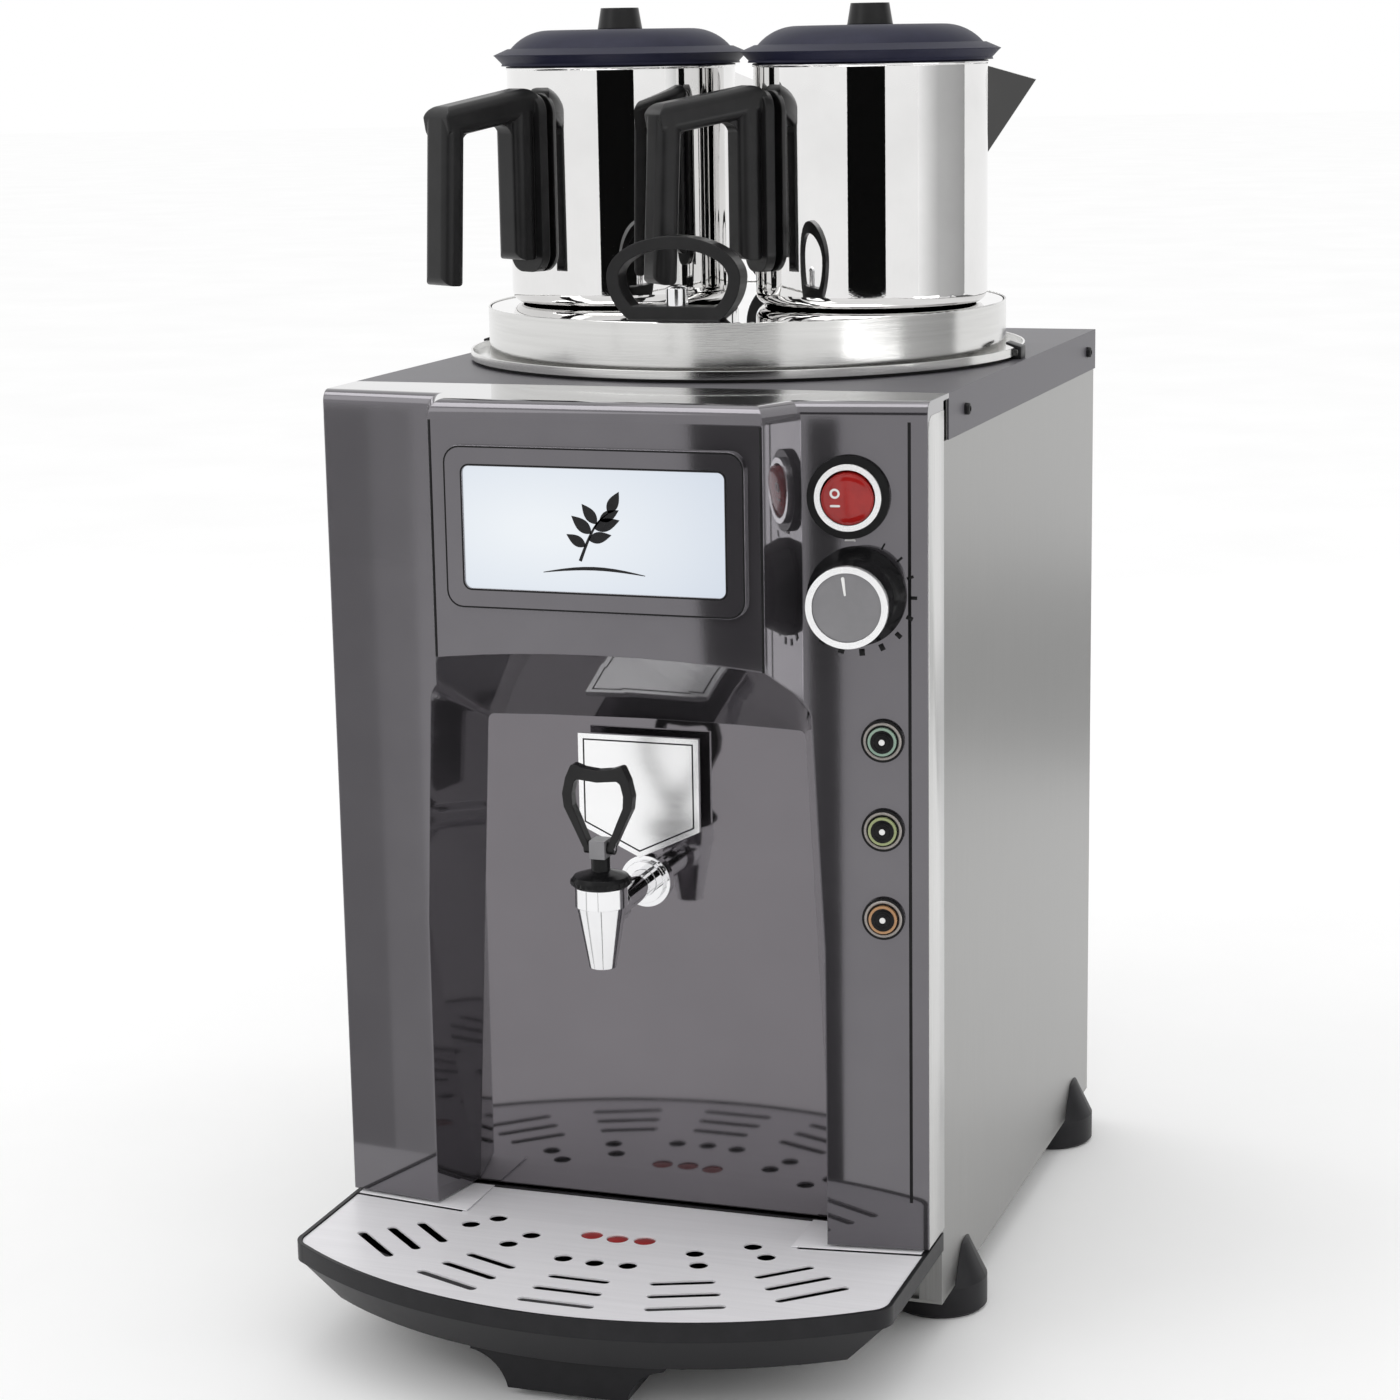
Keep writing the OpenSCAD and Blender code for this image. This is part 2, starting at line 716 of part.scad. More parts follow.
module tap_lever() color("#2c2b2e") at_tap() translate([0, 0, pin_z]) difference() {
    union() {
        slab(-lever_t / 2, lever_t) difference() {
            offset(r = 2, $fn = 32) offset(delta = -2) lever_outline(loop_outer, leg_out);
            offset(r = 2, $fn = 32) offset(delta = -2) lever_outline(loop_inner, leg_in);
            translate([-leg_in, -1]) square([2 * leg_in, 4]);
        }
        both_sides() translate([leg_in, 0, 0]) rotate([0, 90, 0]) cylinder(r = lever_t / 2, h = leg_t);
    }
    translate([0, 0, -pin_z]) pivot_bore();
}

module valve_stem() color("#b9b9b9") at_tap() {
    translate([0, 0, seat_z + 5]) cylinder(r = stem_r, h = yoke_z - 1.5 - seat_z - 5);
    translate([0, 0, seat_z + 5]) cylinder(r = 6, h = 2);
}

module seat_cup() color("#b6b0a6") at_tap() translate([0, 0, seat_z + seat_gap])
    cylinder(r1 = water_r + 1.5, r2 = chamber_r - 1, h = 5 - seat_gap);

module name_plate() color("#e6e6e6") at_front() translate([0, 0, tap_z + plate_rise]) {
    shoulder = plate_point;
    top = plate_point + plate_side;
    slab(niche_depth - plate_gap - plate_t, plate_t) polygon([
        [0, 0], [plate_w / 2, shoulder], [plate_w / 2, top], [-plate_w / 2, top], [-plate_w / 2, shoulder]]);
    for (side = [-1, 1]) translate([side * plate_w / 4, 0, (shoulder + top) / 2])
        bar_y(3, niche_depth - plate_gap - 1, niche_depth);
}

// Screen
screen_w = 2 * (panel_half - screen_side);
bezel_w = screen_w + 2 * bezel_border;
bezel_h = screen_h + 2 * bezel_border;
lens_w = screen_w + 8;
lens_h = screen_h + 8;
lens_front = -panel_out - bezel_out / 2;
light_depth = 0.48 * panel_out;

spigot_w = bezel_w - 9;
spigot_h = bezel_h - 9;

module at_screen() at_front() translate([0, 0, screen_z]) children();

module screen_bezel() color("#3a383c") at_screen() difference() {
    union() {
        slab(-panel_out - bezel_out, bezel_out) rounded_rect(bezel_w, bezel_h, 10);
        slab(-panel_out, fascia_wall + 6) rounded_rect(spigot_w, spigot_h, 6);
    }
    slab(-panel_out - far, far + fascia_wall + 8) rounded_rect(screen_w, screen_h, 4);
    slab(lens_front, far) rounded_rect(lens_w + slip_gap, lens_h + slip_gap, 3);
}

module screen_lens() color("#dee7f3") at_screen() slab(lens_front, lens_t) rounded_rect(lens_w, lens_h, 3);

module light_box() color("#e9e9e6") at_screen() slab(lens_front + lens_t, light_depth) rounded_rect(lens_w, lens_h, 3);

// Power switch
ring_out_r = switch_d / 2 - 4.5;
switch_out = 3;
rocker_r = rocker_d / 2;
rocker_room = rocker_r + 0.8;
rocker_tilt = 8;
rocker_y = -switch_out / 2;
trunnion_r = 1.1;

switch_barrel_r = switch_d / 2 - 6;

module at_switch() on_column(switch_x, switch_z) children();

module switch_body() color("#1d1d1f") at_switch() difference() {
    union() {
        bar_y(switch_d / 2, -switch_out, 0);
        bar_y(switch_barrel_r, -1, 26);
    }
    bar_y(rocker_room, -far, 9);
    trunnion(trunnion_r + run_gap, rocker_room + 2.2);
}

// Pivot across the rocker
module trunnion(r, half) translate([-half, rocker_y, 0]) rotate([0, 90, 0]) cylinder(r = r, h = 2 * half);

module switch_ring() color("#e4e4e4") at_switch() difference() {
    bar_y(ring_out_r, -switch_out - 2.5, -switch_out);
    bar_y(rocker_room, -far, far);
}

module power_rocker() color("#b4261f") at_switch() {
    translate([0, rocker_y, 0]) rotate([rocker_tilt, 0, 0]) bar_y(rocker_r, -4.5, 3.5);
    trunnion(trunnion_r, rocker_room + 2);
}

// Thermostat
shaft_r = 3;
knob_gap = 0.6;
ring_h = 5;

bush_r = 4.8;

module at_knob() on_column(knob_x, knob_z) children();

module thermostat_body() color("#8a8a88") at_knob() difference() {
    union() {
        bar_y(21, fascia_wall, fascia_wall + 22);
        bar_y(bush_r, -4, fascia_wall + 1);
    }
    bar_y(shaft_r + run_gap, -far, fascia_wall + 12);
}

module thermostat_shaft() color("#b9b9b9") at_knob() bar_y(shaft_r, -knob_h + 8, fascia_wall + 11.5);

module thermostat_knob() color("#232325") at_knob() difference() {
    rotate([90, 0, 0]) rotate_extrude() polygon([
        [0, knob_gap], [skirt_d / 2, knob_gap], [skirt_d / 2, knob_gap + 2], [knob_d / 2 + 1, 11],
        [knob_d / 2, 13], [knob_d / 2, knob_h - ring_h], [0, knob_h - ring_h]]);
    bar_y(bush_r + 1, -5, far);
    bar_y(shaft_r + 0.02, -knob_h + 8, far);
}

module knob_ring() color("#dcdcdc") at_knob() difference() {
    bar_y(knob_d / 2, -knob_h, -knob_h + ring_h);
    bar_y(knob_d / 2 - 3.5, -far, far);
}

module knob_face() color("#77757a") at_knob() bar_y(knob_d / 2 - 3.5 - slip_gap, -knob_h + 1, -knob_h + ring_h);

// Push buttons
cap_r = button_d / 2 - 4;
button_out = 2.5;

button_barrel_r = button_d / 2 - 2.5;

module at_buttons() for (z = button_heights) on_column(button_x, z) children();

module button_bezels() color("#2b2b2d") at_buttons() difference() {
    bar_y(button_d / 2, -button_out, 0);
    bar_y(cap_r + run_gap, -far, far);
}

module button_bodies() color("#1d1d1f") at_buttons() difference() {
    bar_y(button_barrel_r, 0, button_d);
    bar_y(cap_r + run_gap, -far, 6 + button_travel + seat_gap);
}

module button_cap(z) on_column(button_x, z) difference() {
    bar_y(cap_r, -button_out - button_travel, 6);
    bar_y(cap_r - 2.5, -button_out - button_travel - 1, -button_out - button_travel + 1);
}

module upper_button() color("#c8d8c4") button_cap(button_heights[0]);

module middle_button() color("#c9d38a") button_cap(button_heights[1]);

module lower_button() color("#d89a58") button_cap(button_heights[2]);

// Drip tray: a D-shaped plan; the corner circles stand a hair outside the front and the sides
corner_proud = 0.15;

module tray_plan(inset, y_end) {
    r = tray_corner - inset * 0.45;
    front_r = tray_front_r - inset;
    half = half_w - corner_proud - inset;
    corner_x = half - r;
    corner_y = tray_centre - sqrt((front_r - r) * (front_r - r) - corner_x * corner_x);
    spread = atan2(corner_x, tray_centre - corner_y);
    front_half = corner_x + r * sin(spread);
    intersection() {
        translate([0, tray_centre]) circle(front_r, $fn = 240);
        translate([-front_half, -far]) square([2 * front_half, far + y_end]);
    }
    translate([-half, corner_y]) square([2 * half, y_end - corner_y]);
    for (side = [-1, 1]) translate([side * corner_x, corner_y]) circle(r + corner_proud);
}

// Hull-shaped underside: a cone in front and slanted sides
module tray_hull() intersection() {
    h = tray_top - rim_h - tray_bottom;
    translate([0, tray_centre, tray_bottom])
        cylinder(r1 = tray_front_r - 20, r2 = tray_front_r - 1.5, h = h + 0.01, $fn = 240);
    slab(-far, far + tray_rear) polygon([
        [-half_w + 26, tray_bottom], [half_w - 26, tray_bottom],
        [half_w - 3, tray_bottom + h + 0.01], [-half_w + 3, tray_bottom + h + 0.01]]);
}

// Middle foot of the tray, with hollowed flanks
module tray_foot() slab(-tray_reach + 34, 46) difference() {
    translate([-tray_foot_half, tray_lift]) square([2 * tray_foot_half, tray_bottom + 1 - tray_lift]);
    for (side = [-1, 1]) translate([side * (tray_foot_half + 4), tray_lift - 6]) circle(27);
}

module drip_tray() color("#323135") at_front() difference() {
    union() {
        translate([0, 0, tray_top - rim_h]) linear_extrude(rim_h) tray_plan(0, tray_rear);
        tray_hull();
        tray_foot();
    }
    translate([0, 0, drip_seat]) linear_extrude(far) drip_plan(rim_t);
    translate([0, 0, tray_bottom + 3]) linear_extrude(far) tray_plan(32, tray_rear - 8);
}

// Plan of the drip plate: full width in front of the columns, a tongue between them
module drip_plan(inset) intersection() {
    tray_plan(inset, tray_rear - 2 + rim_t - inset);
    union() {
        grow = rim_t - inset;
        translate([-tongue_half - grow, -far]) square([2 * (tongue_half + grow), 2 * far]);
        both_sides() translate([0, centre_y - 2.5 + grow]) rotate(column_angle)
            translate([-far / 2, -far]) square([far, far]);
    }
}

// Drain pattern: five fans of slots and rows of holes about one centre
fan_y = 70;
fan_step = 21.3;
fan_span = 13.2;
slot_radii = [160, 178, 196];
hole_turns = [-42.7, -25.6, 25.6, 42.7];
hole_radii = [117, 135];
middle_turns = [-8.4, 0, 8.4];
mark_turns = [-9.7, 0, 9.7];
mark_radius = 97;
mark_r = 6.5;
mark_lip = 1.5;

module on_fan(turn, radius) translate([0, fan_y]) rotate(turn) translate([0, -radius]) children();

module drain_slot(length) {
    square([length - slot_w, slot_w], center = true);
    for (side = [-1, 1]) translate([side * (length - slot_w) / 2, 0]) circle(slot_w / 2);
}

module drain_pattern() {
    for (fan = [-2 : 2], radius = slot_radii) on_fan(fan * fan_step, radius)
        drain_slot(2 * radius * tan(fan_span / 2));
    for (turn = hole_turns, radius = hole_radii) on_fan(turn, radius) circle(drain_d / 2);
    for (turn = middle_turns) on_fan(turn, hole_radii[1]) circle(drain_d / 2);
    for (turn = mark_turns) on_fan(turn, mark_radius) circle(mark_r);
}

module drip_plate() color("#cfcfd2") at_front() translate([0, 0, drip_seat]) linear_extrude(drip_t) difference() {
    drip_plan(rim_t + seat_gap);
    drain_pattern();
}

// Low domes that fill three holes of the plate, held by a lip under it
module cup_marks() color("#b41c1c") at_front() for (turn = mark_turns)
    translate([0, fan_y, drip_seat]) rotate([0, 0, turn]) translate([0, -mark_radius, 0]) {
        translate([0, 0, -mark_lip]) cylinder(r = mark_r + mark_lip, h = mark_lip);
        intersection() {
            translate([0, 0, -mark_lip / 2]) cylinder(r = mark_r - slip_gap, h = far);
            translate([0, 0, drip_t - 0.1 - 5 * mark_r]) sphere(5 * mark_r);
        }
    }

// Teapots, drawn about their own axis with the handle towards +x
module at_pot(side) at_tank() translate([side * pot_x, 0, pot_z])
    rotate([0, 0, 180 + (side < 0 ? left_turn : right_turn)]) children();

pot_r = pot_d / 2;
base_r = 8;
bead_r = 1.2;
bracket_t = 1.2;
bracket_w = 14;
strip_low = 22;
strip_high = 130;
strip_w = 32;
strip_t = 4.8;
post_low = 30;
grip_low = 17.5;
arm_top = 133;
corner_r = 10;
fillet_r = 8;
edge_r = 6;
spout_half = 24;
spout_drop = 78;

// Half section of a pot, filled
module pot_profile(inset, top) {
    translate([0, inset]) square([pot_r - base_r, top - inset]);
    translate([0, base_r]) square([pot_r - inset, top - base_r]);
    translate([pot_r - base_r, base_r]) intersection() {
        circle(base_r - inset);
        translate([0, -base_r]) square(base_r);
    }
}

module pot_shell() rotate_extrude() {
    difference() {
        pot_profile(0, pot_h - bead_r);
        pot_profile(pot_wall, pot_h + 1);
    }
    translate([pot_r - pot_wall / 2, pot_h - bead_r]) circle(bead_r);
}

// Beak: a triangular channel on the side away from the handle
module spout_solid(inset) {
    root = -(pot_r - 6);
    tip = -(pot_r + spout_out) + 2 * inset;
    top = pot_h - 3 + (inset > 0 ? 2 : 0);
    half = spout_half - inset;
    polyhedron(
        points = [[root, half, top], [root, -half, top], [root, 0, pot_h - spout_drop + 3 * inset], [tip, 0, top - 10]],
        faces = [[0, 1, 3], [0, 3, 2], [1, 2, 3], [0, 2, 1]]);
}

// Room outside the middle of the pot's wall
module outside_pot() difference() {
    translate([-far / 2, -far / 2, 0]) cube(far);
    translate([0, 0, -1]) cylinder(r = pot_r - pot_wall / 2, h = far + 2);
}

module pot_body() {
    difference() {
        union() {
            pot_shell();
            intersection() {
                spout_solid(0);
                outside_pot();
            }
        }
        spout_solid(1.2);
    }
    intersection() {
        translate([0, -bracket_w / 2, strip_low + 14]) cube([pot_r + bracket_t, bracket_w, strip_high - strip_low - 28]);
        outside_pot();
    }
}

module left_pot() color("#d9d9d7") at_pot(-1) pot_body();

module right_pot() color("#d9d9d7") at_pot(1) pot_body();

// Handle, seen from the side: a back strip and a post on the pot, a sloping arm and a leaning grip
strip_face = pot_r + bracket_t;
post_face = strip_face + strip_t + bar_t;
grip_foot = pot_r + handle_reach - bar_t / 2;
grip_l = arm_top - grip_low - 14;
arm_half = arm_t / (2 * cos(arm_slope));
arm_from = strip_face + 2;

// Height of the arm's middle and distance of the grip's middle, along the handle
function arm_z(x) = arm_top - arm_half - (x - post_face + 7) * tan(arm_slope);
function grip_x(z) = grip_foot - (z - grip_low) * tan(grip_lean);

// Upright bar with rounded edges and a rounded lower end
module upright_bar(length) intersection() {
    linear_extrude(length) rounded_rect(bar_t, bar_w, edge_r);
    slab(-bar_w, 2 * bar_w) translate([0, length]) rounded_rect(bar_t + 0.2, 2 * length, edge_r);
}

// Filling of the inner corner under the arm, beside the post (side 1) or the grip (side -1)
module corner_fill(x, side) {
    r = fillet_r - 0.3;
    middle_x = side > 0 ? r : fillet_r * tan(grip_lean) - r;
    slab(edge_r - 1 - bar_w / 2, bar_w - 2 * edge_r + 2) translate([x, arm_z(x) - arm_half]) difference() {
        translate([side > 0 ? -2 : -fillet_r, -fillet_r]) square([fillet_r + 2, fillet_r + 4]);
        translate([middle_x, -r - side * r * tan(arm_slope)]) circle(fillet_r);
    }
}

// Room that rounds the two upper corners of the handle
module handle_outline() {
    right_x = grip_x(arm_z(grip_foot)) + bar_t / 2 - corner_r;
    left_x = arm_from + corner_r;
    drop = corner_r / cos(arm_slope) - arm_half;
    for (x = [left_x, right_x]) translate([x, arm_z(x) - drop]) circle(corner_r + 0.3);
    translate([left_x, arm_z(left_x) - drop]) rotate(-arm_slope) translate([0, -2 * arm_t])
        square([(right_x - left_x) / cos(arm_slope), 2 * arm_t + 2 * corner_r]);
    translate([right_x, arm_z(right_x) - drop]) rotate(grip_lean) translate([-2 * pot_r, -2 * pot_r])
        square([2 * pot_r + 1.5 * corner_r, 2 * pot_r]);
}

module pot_handle() {
    grip_inner = grip_x(arm_z(grip_foot) - arm_half) - bar_t / 2;
    translate([strip_face, 0, (strip_low + strip_high) / 2]) rotate([0, 90, 0]) linear_extrude(strip_t + 1)
        rounded_rect(strip_high - strip_low, strip_w, strip_w / 2 - 4);
    translate([post_face - bar_t / 2, 0, post_low]) upright_bar(arm_top - arm_half - post_low);
    corner_fill(post_face, 1);
    corner_fill(grip_inner, -1);
    intersection() {
        union() {
            translate([grip_foot, 0, grip_low]) rotate([0, -grip_lean, 0]) upright_bar(grip_l);
            translate([arm_from, 0, arm_z(arm_from)]) rotate([0, 90 + arm_slope, 0])
                linear_extrude((grip_foot - arm_from + 2.5) / cos(arm_slope)) rounded_rect(arm_t, bar_w, edge_r);
        }
        slab(-bar_w, 2 * bar_w) handle_outline();
    }
}

module left_pot_handle() color("#2b2a2c") at_pot(-1) pot_handle();

module right_pot_handle() color("#2b2a2c") at_pot(1) pot_handle();

lid_wall = 2.2;
lid_curve_r = 32;
brim_z = 5.2;
lid_foot = pot_h + seat_gap;
pot_lid_r = pot_lid_d / 2;
spigot_r = pot_r - pot_wall - 1.2;

// Half section of a pot's lid, filled: flat crown and round shoulders
module pot_lid_profile(inset) {
    crown = pot_lid_r - lid_curve_r - 3;
    square([crown, pot_lid_h - inset]);
    translate([crown, 0]) intersection() {
        translate([0, pot_lid_h - lid_curve_r]) circle(lid_curve_r - inset);
        square(lid_curve_r);
    }
}

module pot_lid() translate([0, 0, lid_foot]) rotate_extrude() difference() {
    union() {
        pot_lid_profile(0);
        polygon([
            [pot_r - 6, 0], [pot_r + 1.5, 0], [pot_lid_r - 1.5, brim_z], [pot_lid_r, brim_z + 1.4],
            [pot_r - 1, brim_z + 5.3], [pot_r - 6, brim_z + 5.3]]);
        translate([spigot_r - 2, -7]) square([2, 8]);
    }
    intersection() {
        pot_lid_profile(lid_wall);
        square([spigot_r - 2, pot_lid_h]);
    }
}

module left_pot_lid() color("#41405a") at_pot(-1) pot_lid();

module right_pot_lid() color("#41405a") at_pot(1) pot_lid();

knob_low_r = 14;
knob_top_r = 11.8;
lid_knob_h = 13;

module lid_knob() translate([0, 0, lid_foot + pot_lid_h]) cylinder(r1 = knob_low_r, r2 = knob_top_r, h = lid_knob_h);

module left_lid_knob() color("#1f1f21") at_pot(-1) lid_knob();

module right_lid_knob() color("#1f1f21") at_pot(1) lid_knob();

front_fascia();
niche_back_panel();
side_panel_left();
side_panel_right();
top_cover();
rear_panel();
base_pan();
corner_feet();
housing_screws();
cable_gland();
tank();
tank_floor();
tank_collar();
tank_seal();
tank_lid();
lid_handle_front();
lid_handle_rear();
handle_nuts();
heating_element();
element_flange();
temperature_probe();
outlet_pipe();
tap_flange();
tap_shank();
tap_nut();
tap_body();
tap_bonnet();
lever_yoke();
lever_pin();
tap_lever();
valve_stem();
seat_cup();
name_plate();
screen_bezel();
screen_lens();
light_box();
switch_body();
switch_ring();
power_rocker();
thermostat_body();
thermostat_shaft();
thermostat_knob();
knob_ring();
knob_face();
button_bezels();
button_bodies();
upper_button();
middle_button();
lower_button();
drip_tray();
drip_plate();
cup_marks();
left_pot();
right_pot();
left_pot_handle();
right_pot_handle();
left_pot_lid();
right_pot_lid();
left_lid_knob();
right_lid_knob();
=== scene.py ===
import json
import math

import bmesh
import bpy
from mathutils import Matrix, Vector


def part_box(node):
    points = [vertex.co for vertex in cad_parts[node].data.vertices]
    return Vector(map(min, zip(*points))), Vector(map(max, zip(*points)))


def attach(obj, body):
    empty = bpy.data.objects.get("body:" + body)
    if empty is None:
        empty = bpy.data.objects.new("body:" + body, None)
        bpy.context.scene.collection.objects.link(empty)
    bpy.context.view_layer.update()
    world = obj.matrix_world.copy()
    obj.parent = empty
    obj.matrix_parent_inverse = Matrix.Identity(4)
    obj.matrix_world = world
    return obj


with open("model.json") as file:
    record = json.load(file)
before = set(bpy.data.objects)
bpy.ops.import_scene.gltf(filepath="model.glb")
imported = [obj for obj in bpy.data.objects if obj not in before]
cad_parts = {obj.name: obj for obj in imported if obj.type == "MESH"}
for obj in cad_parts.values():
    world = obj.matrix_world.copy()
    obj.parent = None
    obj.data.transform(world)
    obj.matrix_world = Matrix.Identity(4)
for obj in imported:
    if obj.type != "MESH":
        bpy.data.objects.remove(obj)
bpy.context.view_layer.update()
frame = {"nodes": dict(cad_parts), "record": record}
nodes = frame["nodes"]
record = frame["record"]
scene = bpy.context.scene

MM = 0.001
RIGHT = Vector((1, 0, 0))
BACK = Vector((0, 1, 0))
UP = Vector((0, 0, 1))
SIDES = (("left", -1), ("right", 1))


def middle_of(node):
    """Middle of a CAD node's box."""
    low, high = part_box(node)
    return (low + high) / 2


# Materials

BUMP_DEPTH = 0.0003
COAT_ROUGHNESS = 0.06


def new_material(name):
    mat = bpy.data.materials.new(name)
    mat.use_nodes = True
    return mat, mat.node_tree, mat.node_tree.nodes["Principled BSDF"]


def add_node(tree, kind, **values):
    """Shader node with its properties and inputs set by name."""
    node = tree.nodes.new(kind)
    for key, value in values.items():
        if hasattr(node, key):
            setattr(node, key, value)
        else:
            node.inputs[key].default_value = value
    return node


def coordinates(tree, stretch):
    """The object's own coordinates, scaled along each axis."""
    place = add_node(tree, "ShaderNodeTexCoord")
    mapping = add_node(tree, "ShaderNodeMapping", Scale=stretch)
    tree.links.new(place.outputs["Object"], mapping.inputs["Vector"])
    return mapping.outputs["Vector"]


def ramp(tree, source, stops):
    """Colour that runs through (position, colour) stops."""
    node = add_node(tree, "ShaderNodeValToRGB")
    elements = node.color_ramp.elements
    while len(elements) < len(stops):
        elements.new(0.5)
    for element, (position, colour) in zip(elements, stops):
        element.position = position
        element.color = (*colour, 1)
    tree.links.new(source, node.inputs["Fac"])
    return node.outputs["Color"]


def spread(tree, source, low, high):
    """Value from 0 to 1 spread over low to high."""
    node = add_node(tree, "ShaderNodeMapRange", **{"To Min": low, "To Max": high})
    tree.links.new(source, node.inputs["Value"])
    return node.outputs["Result"]


def surface(name, dark, light, rough, metallic=0.0, grain=60.0, stretch=(1, 1, 1), bump=0.05,
            bump_grain=900.0, bevel=0.0004, coat=0.0, specular=0.5):
    """Principled surface with a mottled colour, a mottled roughness, a fine bump and softened edges."""
    mat, tree, shader = new_material(name)
    vector = coordinates(tree, stretch)
    mottle = add_node(tree, "ShaderNodeTexNoise", Scale=grain, Detail=4.0, Roughness=0.6)
    tree.links.new(vector, mottle.inputs["Vector"])
    colour = ramp(tree, mottle.outputs["Fac"], [(0.3, dark), (0.7, light)])
    tree.links.new(colour, shader.inputs["Base Color"])
    tree.links.new(spread(tree, mottle.outputs["Fac"], *rough), shader.inputs["Roughness"])
    fine = add_node(tree, "ShaderNodeTexNoise", Scale=bump_grain, Detail=2.0)
    tree.links.new(vector, fine.inputs["Vector"])
    relief = add_node(tree, "ShaderNodeBump", Strength=bump, Distance=BUMP_DEPTH)
    tree.links.new(fine.outputs["Fac"], relief.inputs["Height"])
    if bevel:
        edge = add_node(tree, "ShaderNodeBevel", samples=6, Radius=bevel)
        tree.links.new(edge.outputs["Normal"], relief.inputs["Normal"])
    tree.links.new(relief.outputs["Normal"], shader.inputs["Normal"])
    shader.inputs["Metallic"].default_value = metallic
    shader.inputs["Coat Weight"].default_value = coat
    shader.inputs["Coat Roughness"].default_value = COAT_ROUGHNESS
    shader.inputs["Specular IOR Level"].default_value = specular
    return mat


